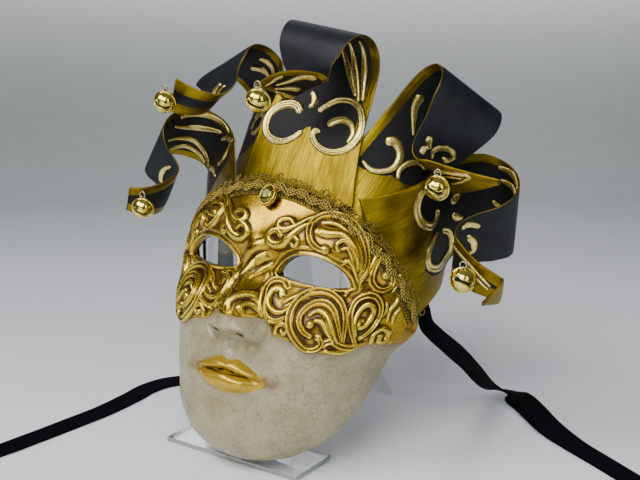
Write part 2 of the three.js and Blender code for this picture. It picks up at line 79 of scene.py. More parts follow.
def between(a, b, c, d, f):
    """Places from b to c on a smooth curve through four points, at shares f of the way."""
    return b + 0.5 * f * (c - a + f * (2 * a - 5 * b + 4 * c - d + f * (3 * (b - c) + d - a)))


def lengths_along(line):
    return np.concatenate([[0], np.cumsum(np.linalg.norm(np.diff(line, axis=0), axis=1))])


def smooth_column(rows, column, t):
    """One column of a table at shares t of the way through its rows."""
    s = np.clip(t, 0, 1) * (len(rows) - 1)
    i = np.minimum(np.floor(s).astype(int), len(rows) - 2)
    f = s - i
    value = np.asarray(rows)[:, column]
    return between(*(value[np.clip(i + k, 0, len(rows) - 1)] for k in (-1, 0, 1, 2)), f)


def bump(distance):
    return np.exp(-distance * distance)


def ramp(start, end, value):
    f = np.clip((value - start) / (end - start), 0, 1)
    return f * f * (3 - 2 * f)


def lips(x, z):
    """Forward reach of the lips, and how much of a place is lip, 0 to 1."""
    side = np.abs(x)
    mouth = 51 - 0.004 * side ** 2 + 1.2 * bump(side / 5)
    bow = 59.0 - 1.3 * bump(side / 3.6) + 0.8 * bump((side - 6.5) / 4.5) - 0.0145 * side ** 2
    low = 39.5 + 0.0125 * side ** 2
    up = np.clip((z - mouth) / np.maximum(bow - mouth, 0.8), -1, 2)
    down = np.clip((mouth - z) / np.maximum(mouth - low, 0.8), -1, 2)
    ends = ramp(25, 12, side)
    upper = 4.0 * np.sin(np.pi * np.clip(up, 0, 1) ** 0.75) ** 0.8 * ends
    lower = 5.0 * np.sin(np.pi * np.clip(down, 0, 1) ** 0.85) ** 0.8 * ends * ramp(24, 10, side)
    inside = np.minimum(bow - z, z - low)
    area = ramp(-0.9, 0.9, inside) * ramp(25.5, 23, side)
    body = 1.0 * bump((z - 50) / 12) * bump(x / 22)
    return np.where(z > mouth, upper, lower) + body - 1.6 * bump((z - mouth) / 1.2) * ends, area


def feature_height(x, z):
    """How far the nose, brows, lips and chin stand forward."""
    side = np.abs(x)
    nose_half = NOSE["half"] + NOSE["flare"] * ramp(106, 80, z)
    line = NOSE["low"] + (NOSE["high"] - NOSE["low"]) * ramp(NOSE["bridge"], NOSE["tip"], z)
    ends = ramp(NOSE["base"] + 1.5, NOSE["base"] + 10, z) * ramp(NOSE["bridge"] + 10, NOSE["bridge"] - 4, z)
    height = line * ends * bump(np.abs(x / nose_half) ** 1.15)
    for middle, level, wide, tall, forward in FORMS:
        height = height + forward * bump((side - middle) / wide) * bump((z - level) / tall)
    behind_wing = 1.6 * bump((np.hypot((side - 10.8) / 1.05, z - 77.2) - 9.4) / 1.5)
    height = height - behind_wing * ramp(9, 15, side) * ramp(88, 80, z)
    nostril = 4.6 * bump((side - 8.2) / 3.2) * bump((z - 72.8 - 0.1 * side) / 1.7)
    groove = 1.1 * bump(x / 3.2) * bump((z - 64.5) / 3.5)
    ridges = 0.8 * bump((side - 5) / 2.2) * bump((z - 64.5) / 3.5)
    under_lip = 1.2 * bump(x / 14) * bump((z - 33.5) / 4)
    return height - nostril - groove + ridges - under_lip + lips(x, z)[0]


def bare_face(a, t):
    z, y, half, side, rim = (smooth_column(FACE_ROWS, column, t) for column in range(5))
    c = np.maximum(np.cos(a), 0)
    return np.stack([half * np.sin(a), rim - (rim - y) * c ** FLATNESS, z + (side - z) * (1 - c)], -1)


def face_surface(a, t):
    p = bare_face(a, t)
    fade = ramp(math.radians(90), math.radians(70), np.abs(a))
    p[..., 1] -= feature_height(p[..., 0], p[..., 2]) * fade
    return p


def normalised(v):
    return v / np.maximum(np.linalg.norm(v, axis=-1, keepdims=True), 1e-9)


def surface_normal(surface, a, t):
    """Outward normal of a surface, from places a small step away on each side."""
    da, dt = math.radians(0.6), 0.004
    limit = math.radians(89.9)
    along = surface(np.minimum(a + da, limit), t) - surface(np.maximum(a - da, -limit), t)
    up = surface(a, np.minimum(t + dt, 1)) - surface(a, np.maximum(t - dt, 0))
    return normalised(np.cross(along, up))


def to_part(points):
    """From the mask's frame to the part's, both in millimetres."""
    p = np.asarray(points, float)
    c, s = math.cos(LEAN), math.sin(LEAN)
    turned = np.stack([p[..., 0], p[..., 1] * c + p[..., 2] * s, -p[..., 1] * s + p[..., 2] * c], -1)
    return turned + CHIN_PLACE


def eye_outline(steps=160):
    q = np.linspace(0, 2 * math.pi, steps, endpoint=False)
    x, up = np.cos(q), np.sin(q)
    tall = np.where(up > 0, EYE["top"], EYE["bottom"])
    lift = np.abs(up) ** 1.25 * np.sign(up)
    return np.stack([
        EYE["x"] + EYE["half"] * x - EYE["skew"] * up * (1 - x * x),
        EYE["z"] - EYE["slant"] * x + tall * lift,
    ], -1)


def outline_distance(points, outline):
    """Distance to a closed outline, negative inside, and the nearest place on it."""
    best = np.full(len(points), 1e9)
    near = np.zeros_like(points)
    inside = np.zeros(len(points), bool)
    for a, b in zip(outline, np.roll(outline, -1, axis=0)):
        run = b - a
        f = np.clip(((points - a) @ run) / (run @ run), 0, 1)
        spot = a + f[:, None] * run
        d = np.linalg.norm(points - spot, axis=1)
        closer = d < best
        best[closer] = d[closer]
        near[closer] = spot[closer]
        crosses = (a[1] > points[:, 1]) != (b[1] > points[:, 1])
        reach = a[0] + (points[:, 1] - a[1]) * run[0] / (run[1] if run[1] else 1e-9)
        inside ^= crosses & (points[:, 0] < reach)
    return np.where(inside, -best, best), near


# Carved scrolls of the gilt half: (side angle, height) along each stroke, half width at its start,
# middle and end, height, ribs side by side. All are mirrored to the left half. Each is spread by
# CARVED_SPREAD, and a degree to the side is DEGREE millimetres on the face.
DEGREE = 1.25
CARVED_SPREAD = 1.42
STROKES = [
    # over the eye: the great scroll and the plumes in it
    ([(32, 127.5), (28.5, 128.3), (25, 131), (22.8, 136), (22.6, 141.5), (25.5, 145.8), (31, 147),
      (37, 144.8), (42.5, 140), (47, 133.5), (49.5, 127), (50, 120), (48.5, 114)], (1.2, 2.1, 1.0), 2.1, 2),
    ([(26.5, 141.5), (31.5, 142), (36.5, 139.8), (42, 135.2), (46, 129), (48, 122), (48.2, 116)],
     (0.9, 1.5, 0.7), 1.7, 1),
    ([(27, 137.2), (30.5, 136.4), (36, 137), (41, 133.8), (45, 127.5), (47.2, 120)],
     (2.2, 1.7, 0.6), 2.0, 1),
    ([(37, 128.5), (35.8, 131.5), (38, 134), (42, 131.5), (45, 126.5), (47, 119)], (0.8, 1.4, 0.6), 1.9, 1),
    ([(38.2, 129.5), (40.5, 130.2), (43, 126.5), (45.5, 120)], (0.6, 1.0, 0.5), 1.4, 1),
    ([(40, 121.8), (41.5, 124), (44, 122.2), (46.5, 117.5), (48.6, 113.2)], (0.8, 1.2, 0.6), 1.8, 1),
    ([(56, 138), (53.6, 131), (52.4, 124), (50.8, 117), (49.6, 112)], (0.6, 1.1, 0.6), 1.5, 1),
    ([(57.5, 134), (55.4, 128), (53.8, 121), (52.2, 115)], (0.5, 0.9, 0.5), 1.2, 1),
    # temple
    ([(61.5, 125.5), (58.5, 128.8), (55.2, 127), (53.8, 121.5), (54.2, 115.5), (57.5, 111.6), (61.5, 111.2),
      (64.4, 114.4), (63.2, 119), (60, 120.4)], (1.0, 1.7, 1.3), 1.9, 2),
    ([(65.5, 128), (67.5, 123), (67.6, 117), (66.4, 111)], (0.6, 1.1, 0.5), 1.3, 1),
    # beside the nose
    ([(17.6, 103), (14, 106), (10, 105.2), (8.2, 101), (9, 95), (11, 89.3), (15, 84.8), (20, 84.2),
      (25, 87.6)], (1.6, 1.9, 0.9), 2.0, 2),
    ([(16.6, 98.6), (14.6, 101), (11.8, 99.6), (11.6, 95), (13.4, 91.2), (17.4, 88.8), (21.6, 89.4),
      (23.6, 92.4)], (1.6, 1.5, 0.7), 1.9, 1),
    ([(19, 94), (23, 98.5), (27.5, 102), (32, 103.4)], (0.6, 1.2, 0.5), 1.4, 1),
    ([(20.5, 91.6), (25, 96.5), (30, 100)], (0.5, 1.0, 0.5), 1.2, 1),
    ([(20.8, 77.6), (21.2, 81.6), (24, 83.4), (26.6, 81.2), (25.2, 78.4), (23.4, 80)],
     (0.9, 1.1, 0.8), 1.6, 1),
    # great spiral under the eye and the comb of leaves in it
    ([(41.5, 80.6), (44, 77.5), (42.6, 74), (38, 72.6), (32.6, 76), (27.6, 82), (25.2, 89.5), (25.4, 97),
      (28.6, 102), (33.4, 104.4), (38.8, 103.6), (44, 100.2), (48.2, 94.6), (51.4, 87.6), (54, 79.6)],
     (1.4, 2.2, 1.0), 2.3, 2),
    ([(37.8, 80), (33.6, 82.4), (30.6, 87), (30.6, 92.6), (33.4, 97), (38, 98), (43, 95), (47.4, 89),
      (52.4, 80.6)], (1.3, 1.8, 0.7), 2.2, 2),
    ([(34, 90.6), (37, 93.6), (41.6, 91.4), (46, 86), (51.6, 78.6)], (0.8, 1.4, 0.6), 2.0, 1),
    ([(37.6, 88.6), (41, 88), (45.4, 83.4), (50, 77.8)], (0.9, 1.3, 0.6), 1.8, 1),
    ([(45, 77), (48.6, 79.2), (54, 77.4), (59.4, 77.6), (65, 81)], (1.8, 1.7, 0.7), 1.7, 2),
    ([(47, 73.4), (52, 73.2), (57, 74.6), (62, 78)], (0.8, 1.2, 0.6), 1.4, 1),
    # oval beside it and the scroll at the rim
    ([(60.6, 79.4), (55, 86.4), (50.8, 95), (50.4, 102.4), (54, 106.8), (59, 107), (63.2, 102.6),
      (64.6, 95.6), (64.2, 88.6), (61.6, 83)], (1.0, 1.8, 1.1), 2.0, 2),
    ([(58.6, 83.6), (55, 90), (54, 97), (56.4, 102), (60, 100.4), (61, 95), (60, 89.8), (57.6, 88.8),
      (57, 92.4)], (0.8, 1.4, 1.2), 1.8, 1),
    ([(69, 81), (67.4, 86), (70, 89.8), (74.4, 88), (75.6, 83.6), (72.6, 82.6), (71.6, 85.4)],
     (1.0, 1.3, 1.0), 1.5, 1),
    ([(70, 94), (69, 100), (70.6, 106), (69.4, 112)], (0.5, 0.9, 0.5), 1.1, 1),
    ([(73.5, 93), (72.6, 98), (74, 103)], (0.5, 0.9, 0.5), 1.0, 1),
    ([(66, 96), (67, 100), (66, 104.4)], (0.5, 0.9, 0.5), 1.0, 1),
    ([(72, 110), (71, 116), (72, 122)], (0.5, 0.9, 0.5), 1.0, 1),
    # inner end of the brow
    ([(11.4, 131), (9.4, 133.2), (6.4, 132.2), (5.6, 128.6), (8.4, 126), (12.6, 127), (16, 131.4),
      (19.2, 136.8), (23, 141)], (1.2, 1.8, 0.8), 1.9, 1),
    ([(15.6, 137.6), (12.4, 140.4), (8.8, 139), (8.8, 135.6), (12, 134.2), (16.2, 137), (20, 142),
      (23, 145)], (1.0, 1.5, 0.8), 1.8, 1),
    ([(15.4, 129), (17, 131.6), (19.4, 130), (18.4, 127), (16.6, 128)], (0.8, 1.0, 0.7), 1.4, 1),
    # spray on the tip of the nose
    ([(1, 86.6), (0.4, 90.4), (2, 94.4), (5, 95.8), (8, 93), (11, 88.6), (14.6, 85), (18, 84)],
     (1.0, 1.5, 0.7), 1.3, 1),
    ([(5.6, 85.6), (4.4, 88.6), (6, 91), (9.4, 88.4), (12, 85)], (0.7, 1.1, 0.6), 1.1, 1),
]
# Knobs at the ends of the scrolls: side angle, height, radius, height of the knob
KNOBS = [
    (31.6, 128, 2.5, 1.9), (27.6, 137.6, 2.4, 0.8), (36.6, 130, 1.7, 0.8), (60.2, 119, 2.3, 1.4),
    (16.4, 98.4, 2.1, 1.2), (36.2, 86, 2.5, 2.3), (42, 80, 2.3, 1.6), (46, 76.6, 2.0, 1.0),
    (57.8, 92.4, 2.0, 1.2), (71.6, 85.4, 1.9, 1.0), (44.6, 106.6, 1.7, 1.8), (44.6, 104.4, 1.1, 1.4),
    (23.6, 80, 1.2, 0.9), (11, 131.4, 1.7, 1.0), (15.6, 137, 1.5, 0.8),
]
# Feathers on the bridge of the nose, not mirrored
BRIDGE = [
    ([(4.4, 125), (0, 122.6), (-3.6, 117), (-6.4, 109.6), (-7.4, 103), (-7.8, 98)],
     (2.3, 2.2, 0.6), 1.5, 1),
    ([(6, 119.4), (2.6, 116), (-0.4, 110), (-2.8, 103)], (1.9, 1.6, 0.5), 1.3, 1),
    ([(7.4, 113.6), (4.6, 110.6), (2, 105)], (1.3, 1.2, 0.4), 1.0, 1),
]
# Lower edge of the gilding: side angle, height
GILT_EDGE = np.array([
    (0, 83.5), (6, 83), (11, 84), (15, 83), (19, 77), (24, 76), (30, 74.5), (36, 71.4), (42, 71.6),
    (47, 71.4), (53, 71.6), (58, 73.4), (63, 77.6), (68, 80), (77, 80.5), (90, 82),
], float)


def spline(points, step):
    """Evenly spaced points on a smooth curve through the given ones."""
    p = np.asarray(points, float)
    padded = np.vstack([2 * p[0] - p[1], p, 2 * p[-1] - p[-2]])
    f = np.linspace(0, 1, 24, endpoint=False)[:, None]
    pieces = [between(*padded[i - 1:i + 3], f) for i in range(1, len(padded) - 2)]
    line = np.vstack([*pieces, padded[-2:-1]])
    length = lengths_along(line)
    count = max(int(length[-1] / step), 4)
    s = np.linspace(0, length[-1], count + 1)
    return np.stack([np.interp(s, length, line[:, k]) for k in range(p.shape[1])], -1)


def stroke_height(places, stroke):
    """Height of one carved stroke at places in unrolled millimetres."""
    path, half, high, ribs = stroke
    line = spline([(a * DEGREE, z) for a, z in path], 0.35)
    share = np.linspace(0, 1, len(line))
    wide = np.interp(share, [0, 0.5, 1], half) * CARVED_SPREAD
    tangent = np.gradient(line, axis=0)
    reach = max(half) * CARVED_SPREAD + 0.2
    height = np.zeros(len(places))
    near = np.where(np.all((places > line.min(0) - reach) & (places < line.max(0) + reach), axis=1))[0]
    for chunk in np.array_split(near, max(1, len(near) // 6000)):
        if not len(chunk):
            continue
        offset = places[chunk][:, None, :] - line[None]
        k = np.argmin((offset ** 2).sum(2), axis=1)
        rows = np.arange(len(chunk))
        d = offset[rows, k]
        t = tangent[k]
        side = np.sign(t[:, 0] * d[:, 1] - t[:, 1] * d[:, 0])
        u = np.linalg.norm(d, axis=1) / wide[k] * side
        body = np.sqrt(np.clip(1 - u * u, 0, 1))
        if ribs == 2:
            body = body ** 0.7 * (0.68 - 0.32 * np.cos(2 * np.pi * u))
        ends = np.clip(np.minimum(share[k], 1 - share[k]) * 9, 0, 1) ** 0.5
        height[chunk] = high * body * (0.55 + 0.45 * ends)
    return height


def knob_height(places, knob):
    a, z, radius, high = knob
    d = np.linalg.norm(places - np.array([a * DEGREE, z]), axis=1) / radius
    return high * np.sqrt(np.clip(1 - d * d, 0, 1))


def relief(a, z, x, eye_gap):
    """Carved height, and gilding from 0 to 1, over flat arrays of side angle and height."""
    degrees = np.degrees(a)
    places = np.stack([np.abs(degrees) * DEGREE, z], -1)
    signed = np.stack([degrees * DEGREE, z], -1)
    edge = z - np.interp(np.abs(degrees), GILT_EDGE[:, 0], GILT_EDGE[:, 1])
    carved = np.zeros(len(z))
    for stroke in STROKES:
        carved = np.maximum(carved, stroke_height(places, stroke))
    for stroke in BRIDGE:
        carved = np.maximum(carved, stroke_height(signed, stroke))
    for knob in KNOBS:
        carved = np.maximum(carved, knob_height(places, knob))
    lid = 1.5 * bump((eye_gap - 1.5) / 1.1) + 0.7 * bump((eye_gap - 4.2) / 0.8) * ramp(104, 110, z)
    base = ramp(-0.5, 0.9, edge)
    carved = np.maximum(carved, lid * base)
    gilt = np.maximum(ramp(-0.35, 0.35, edge), ramp(0.15, 0.5, carved))
    return 0.55 * base + carved, np.maximum(gilt, lips(x, z)[1])


def softened(grid, cells):
    """A grid of values smoothed over a number of cells both ways."""
    reach = np.arange(-3 * cells, 3 * cells + 1)
    weight = np.exp(-0.5 * (reach / cells) ** 2)
    weight /= weight.sum()
    for axis in (0, 1):
        border = [(3 * cells, 3 * cells) if k == axis else (0, 0) for k in (0, 1)]
        padded = np.pad(grid, border, mode="edge")
        grid = np.apply_along_axis(np.convolve, axis, padded, weight, "valid")
    return grid


# Points of gilt leather, each a row of parts on a smooth line: length, bend, turn to the side, twist
# and width at its end
LEATHER = 1.6
BEND_STEP = 24
LENGTH_STEP = 18
ARCH = FACE_ROWS[-1]
POINTS = {
    "point_centre": {
        "arch": (-25, 34), "tilt": -6, "swing": -6, "tuck": -5, "bow": 7,
        "parts": [(61, -12, 6, 0, 64), (27, 23, 4, 0, 60), (48, 173, 0, -5, 41), (18, 34, 20, -5, 26),
                  (7, -138, 7, -18, 34), (38, 43, -10, -28, 2)],
    },
    "point_upper_right": {
        "arch": (18.5, 61.5), "tilt": -25, "swing": -10.5, "tuck": -12, "bow": 6,
        "parts": [(70, -4, 5, -18, 47), (22, 20, -1, -8, 48), (43, 169, 7, -8, 44), (26, 35, 5, 9, 34),
                  (20, -135, -7, 34, 31), (38, -26, 13, 14, 3)],
    },
    "point_lower_right": {
        "arch": (31, 89), "tilt": -24, "swing": 17, "tuck": -3.5, "bow": 9,
        "parts": [(46, -55, -16, -25, 67), (36, 65, 14, 5, 60), (49, 159, 9, -2, 38),
                  (17, 17, 12, -7, 29), (21, -106, -9, 23, 24), (35, -39, -1, 0, 15), (3, 100, 0, 0, 15),
                  (17, 0, 0, 0, 2)],
    },
    "point_upper_left": {
        "arch": (-60.5, -17.5), "tilt": -38, "swing": 0, "tuck": -10, "bow": 6,
        "parts": [(93, 6, 6, 7, 43), (10, 50, 3, -7, 43), (41, 121, 10, 3, 51), (14, 44, -11, -5, 32),
                  (13, -93, 0, -25, 22), (25, -61, -20, -28, 23)],
    },
    "point_lower_left": {
        "arch": (-84, -31), "tilt": -37, "swing": -12, "tuck": -5.5, "bow": 9,
        "parts": [(80, 0, -1, -14, 34), (28, 80, -12, 18, 42), (39, 97, 0, 16, 38), (16, 65, -8, 7, 28),
                  (22, -98, 8, -18, 31), (28, -68, -3, -12, 17)],
    },
}


def arch_point(angle):
    top, y, half, side, rim = ARCH
    a = np.radians(angle)
    c = np.maximum(np.cos(a), 0)
    level = side + (top - side) * np.cos(a)
    return np.stack([half * np.sin(a), rim - (rim - y) * c ** FLATNESS, level], -1)


def turn(first, second, angle):
    c, s = math.cos(angle), math.sin(angle)
    return first * c + second * s, second * c - first * s


def point_stations(shape):
    start, end = (arch_point(angle) for angle in shape["arch"])
    across = end - start
    width = np.linalg.norm(across)
    across = across / width
    middle = (start + end) / 2
    out = np.array([middle[0], 0, middle[2] - ARCH[3] + 11])
    heading = normalised(out - across * (out @ across))
    normal = np.cross(across, heading)
    heading, normal = turn(heading, normal, math.radians(shape["tilt"]))
    heading, across = turn(heading, across, math.radians(shape["swing"]))
    centre = middle + normal * shape["tuck"]
    bow = shape["bow"]
    rows = [(*centre, *across, *normal, width, bow, 0.0)]
    along = 0.0
    for length, bend, steer, twist, end_width in shape["parts"]:
        steps = max(1, math.ceil(max(abs(bend) / BEND_STEP, length / LENGTH_STEP)))
        start_width, start_bow = width, bow
        for k in range(1, steps + 1):
            before = heading
            heading, normal = turn(heading, normal, math.radians(bend) / steps)
            heading, across = turn(heading, across, math.radians(steer) / steps)
            across, normal = turn(across, normal, math.radians(twist) / steps)
            centre = centre + (before + heading) * (length / steps / 2)
            width = start_width + (end_width - start_width) * k / steps
            bow = start_bow * (1 - k / steps)
            along += length / steps
            rows.append((*centre, *across, *normal, width, bow, along))
    return np.array(rows)


def smooth_stations(rows, step):
    """Stations every few millimetres on a smooth line through the given ones."""
    s = rows[:, 11]
    slope = np.gradient(rows, s, axis=0)
    at = np.linspace(0, s[-1], int(s[-1] / step) + 1)
    i = np.clip(np.searchsorted(s, at, side="right") - 1, 0, len(s) - 2)
    h = (s[i + 1] - s[i])[:, None]
    f = ((at - s[i])[:, None]) / h
    fine = (rows[i] * (1 + 2 * f) * (1 - f) ** 2 + slope[i] * h * f * (1 - f) ** 2
            + rows[i + 1] * f * f * (3 - 2 * f) + slope[i + 1] * h * f * f * (f - 1))
    fine[:, 9] = np.interp(at, s, rows[:, 9])
    fine[:, 10] = np.interp(at, s, rows[:, 10])
    fine[:, 11] = at
    fine[:, 3:6] = normalised(fine[:, 3:6])
    square = fine[:, 6:9] - fine[:, 3:6] * (fine[:, 6:9] * fine[:, 3:6]).sum(1, keepdims=True)
    fine[:, 6:9] = normalised(square)
    return fine


def crown(u):
    return 0.55 * (1 - u * u) + 0.45 * (1 - np.abs(u))


def point_surface(fine, along, share, lift):
    """Place on a point at a distance along it, a share of its half width and a lift off its middle."""
    k = np.clip(np.searchsorted(fine[:, 11], along) - 1, 0, len(fine) - 2)
    f = np.clip((along - fine[k, 11]) / (fine[k + 1, 11] - fine[k, 11]), 0, 1)[:, None]
    row = fine[k] * (1 - f) + fine[k + 1] * f
    across, normal = normalised(row[:, 3:6]), normalised(row[:, 6:9])
    u = np.asarray(share)[:, None]
    rise = row[:, 10:11] * crown(u) + lift
    return row[:, 0:3] + across * u * row[:, 9:10] / 2 + normal * rise


# Painted scrolls on the points: (distance along, distance to the right of the middle), half width at
# the start, middle and end, height, ribs, and on which side of the leather (front 1, back -1). The
# paint spreads by PAINT_SPREAD and is followed in steps of PAINT_STEP.
PAINT_SPREAD = 1.25
PAINT_STEP = 0.55
PAINTED = {
    "point_centre": [
        ([(51, -10.5), (54.5, -14), (55.5, -20), (52.5, -27), (47, -31), (41, -31), (36, -28), (33, -22.5),
          (32.5, -15), (35.5, -8.5), (40.5, -4)], (2.6, 2.4, 1.5), 1.3, 2, 1),
        ([(65, -9.5), (62.5, -6), (58.5, -4.5), (55, -6.5)], (1.6, 2.3, 1.3), 1.3, 1, 1),
        ([(53.5, 1), (58, 4), (63, 10), (64.5, 18), (62, 24.5), (57.5, 28.5), (51, 31.5), (45, 32),
          (38, 30), (33, 25), (31, 17), (33.5, 9), (38, 4.5), (42, 4), (41.5, 7.5)],
         (1.5, 2.3, 1.6), 1.3, 2, 1),
        ([(46, 11), (49.5, 13), (52, 18.5), (50, 24.5), (44.5, 27.6), (38, 26.6)],
         (2.2, 1.9, 1.0), 1.2, 1, 1),
        ([(100, 1), (88, 7.5), (78, 13.5), (68, 20.5)], (0.7, 2.0, 1.0), 1.1, 1, 1),
        ([(101, 9), (86, 13.5), (75, 19), (65, 23.5)], (0.7, 1.9, 1.0), 1.1, 1, 1),
        ([(104, 17), (88, 20), (76, 23), (66, 26)], (0.7, 1.8, 1.0), 1.1, 1, 1),
        ([(163, 11), (168, 9.5), (172, 5.5), (176, 1), (182, -2)], (2.4, 1.6, 0.7), 1.2, 1, 1),
        ([(181, 6), (184, 4), (187, 0.6), (191, -1)], (1.5, 1.4, 0.6), 1.1, 1, 1),
        ([(163, -3), (169, -4), (174, -5), (180, -5.4)], (2.1, 1.4, 0.6), 1.2, 1, 1),
        ([(161, -12), (167, -10.6), (172, -9.6), (178, -8)], (1.8, 1.3, 0.6), 1.1, 1, 1),
        ([(160, 14.5), (163, 15), (166, 13.5)], (1.2, 1.5, 0.7), 1.1, 1, -1),
    ],
    "point_upper_right": [
        ([(51, -13.5), (54.5, -10.5), (53.5, -5.5), (48.5, -1.5), (42, -1.6), (36.5, -6), (34, -12),
          (35.5, -19)], (2.8, 1.9, 1.2), 1.3, 1, 1),
        ([(38, 4.5), (43, 2.5), (49, 4), (53.5, 9), (53, 15)], (1.2, 1.9, 1.2), 1.2, 1, 1),
        ([(86, -14), (78, -12.5), (71, -8), (64, -3)], (2.4, 1.8, 0.7), 1.2, 1, 1),
        ([(98, 4), (92, 8), (84, 8), (78, 4)], (1.0, 1.9, 1.0), 1.1, 1, 1),
        ([(155, -11), (158, -8.6), (161, -6)], (2.0, 1.8, 0.9), 1.3, 1, -1),
        ([(168, -10), (163, -9), (159.5, -5.5)], (1.6, 1.7, 0.9), 1.3, 1, -1),
        ([(168, -2), (162, -3), (158, 0.5), (157.5, 6), (161, 10), (165, 8.5), (164, 4.5)],
         (1.2, 1.8, 1.4), 1.3, 1, -1),
        ([(182, -7), (191, -6.6), (203, -5), (197, 0), (189, 3)], (1.0, 1.2, 0.7), 1.1, 1, 1),
        ([(184, -2.4), (191, -3), (198, -2.8)], (0.6, 0.8, 0.5), 0.9, 1, 1),
    ],
    "point_lower_right": [
        ([(46, -25.5), (41, -28), (35.5, -26), (31, -20.5), (31, -13), (36, -6), (43, -3.4), (48, -6),
          (47, -9)], (1.4, 2.6, 1.6), 1.3, 2, 1),
        ([(62, -2.5), (65, -5.6), (69, -7)], (2.0, 2.4, 1.2), 1.3, 1, 1),
        ([(61.5, 4), (65.5, 8), (69.5, 9)], (2.1, 2.6, 1.4), 1.3, 1, 1),
        ([(50, 8.5), (56, 14), (57.5, 21), (53, 26), (44, 26.6), (33, 21.6), (26, 14.5), (28, 7), (36, 3.5),
          (44, 4.5)], (2.2, 2.5, 1.3), 1.3, 2, 1),
        ([(90, -23), (101, -22.5), (112, -19)], (1.0, 2.0, 0.8), 1.1, 1, 1),
        ([(92, -15), (102, -14.5), (111, -11)], (0.9, 1.8, 0.8), 1.1, 1, 1),
        ([(88, 0), (97, 5), (106, 3), (108, -3)], (1.2, 1.9, 1.2), 1.1, 1, 1),
        ([(141, -8), (146, -11), (153, -11)], (1.4, 1.7, 0.8), 1.3, 1, -1),
        ([(150, -4.5), (147, 0), (148, 5.5), (152.5, 7)], (2.0, 2.1, 1.0), 1.3, 1, -1),
        ([(163, -7), (174, -6.5), (186, -4.5), (198, 1)], (0.9, 1.1, 0.7), 1.0, 1, 1),
        ([(182, -1.4), (190, 0.4), (197, 3.4)], (0.7, 1.0, 0.6), 1.0, 1, 1),
    ],
    "point_upper_left": [
        ([(66, -7), (71, -2), (71, 6), (66, 11), (60, 10), (57, 4), (60, -1)], (1.2, 1.9, 1.3), 1.2, 1, 1),
        ([(114, -3), (108, 3), (101, 5)], (1.8, 2.0, 0.9), 1.2, 1, 1),
        ([(116, 10), (107, 12), (98, 10)], (1.0, 1.8, 0.9), 1.1, 1, 1),
        ([(92, -8), (86, -3), (79, -2), (74, -6)], (1.0, 1.8, 1.0), 1.1, 1, 1),
        ([(163, -9), (158.5, -4), (155, 3)], (2.0, 2.2, 0.9), 1.4, 1, -1),
        ([(165, -3), (160, 1), (157, 7)], (1.4, 1.7, 0.8), 1.3, 1, -1),
    ],
    "point_lower_left": [
        ([(122, 14), (108, 16.5), (95, 17.5), (84, 16)], (0.9, 1.9, 1.0), 1.2, 1, 1),
        ([(125, 7), (116, 4.5), (104, 6), (90, 11)], (0.9, 1.9, 1.0), 1.2, 1, 1),
        ([(128, -5), (118, -5), (108, -6), (99, -10.5), (87, -15)], (0.9, 1.9, 1.0), 1.2, 1, 1),
        ([(124, -14.5), (114, -12), (106, -13.5), (94, -17)], (0.8, 1.6, 0.8), 1.2, 1, 1),
        ([(88, 7), (83, 12), (74, 15), (65, 12.5), (61, 6), (66, 2)], (1.0, 1.9, 1.3), 1.2, 1, 1),
        ([(80, -12), (71, -7), (62, -3), (52, 1)], (1.8, 1.8, 0.8), 1.2, 1, 1),
        ([(168, -9), (164.5, -3), (164, 4), (167, 8)], (1.8, 2.1, 1.0), 1.4, 1, -1),
    ],
}
# Upper edge of the gold at the base of each point: (distance from the middle, distance along), the
# width of the gold border, the distance along at which the tongue starts, and the tongue's border
PANELS = {
    "point_centre": ([(-38, 40), (-31, 36), (-24, 31.5), (-15, 31), (-8, 35), (-3, 43), (0, 44), (3.5, 37),
                      (9, 31.5), (17, 29), (25, 31), (31, 37), (36, 46)], 5.2, 156, 3.6),
    "point_upper_right": ([(-24, 31), (-15, 32), (-5, 34), (0, 38), (8, 38), (15, 41), (24, 44)],
                          5.4, 168, 8),
    "point_lower_right": ([(-34, 46), (-28, 36), (-22, 28), (-13, 28.5), (-7, 32), (-1, 40), (3, 34),
                           (8, 25), (14, 22), (22, 26), (28, 36), (33, 46)], 4.6, 156, 6.6),
    "point_upper_left": ([(-24, 52), (0, 46), (24, 52)], 5.0, 160, 7.4),
    "point_lower_left": ([(-24, 52), (0, 44), (24, 52)], 5.0, 168, 5.6),
}

BRAID = {"width": 10, "lift": 1.8}
GEM_HEIGHT = 150.5
GEM_STRETCH = 1.25
BELL_RADIUS = 7.0
BELL_SLOT = {"reach": 4.2, "half": 0.95, "end": 1.6, "depth": 2.2}
# Middle of each ball in the mask's frame, and where its slot faces, in the part's frame
BELLS = {
    "bell_centre": ((6.5, -37.2, 202), (0.3, -0.8, -0.3)),
    "bell_upper_right": ((88, 29, 171.6), (0.1, -0.8, -0.05)),
    "bell_lower_right": ((111.6, 31.4, 124.6), (0.5, -0.8, 0.12)),
    "bell_upper_left": ((-95.8, 7.6, 196.7), (0.3, -0.8, -0.25)),
    "bell_lower_left": ((-112.6, 23, 130), (0.3, -0.8, -0.25)),
}
RIBBON_WIDTH = 15.0
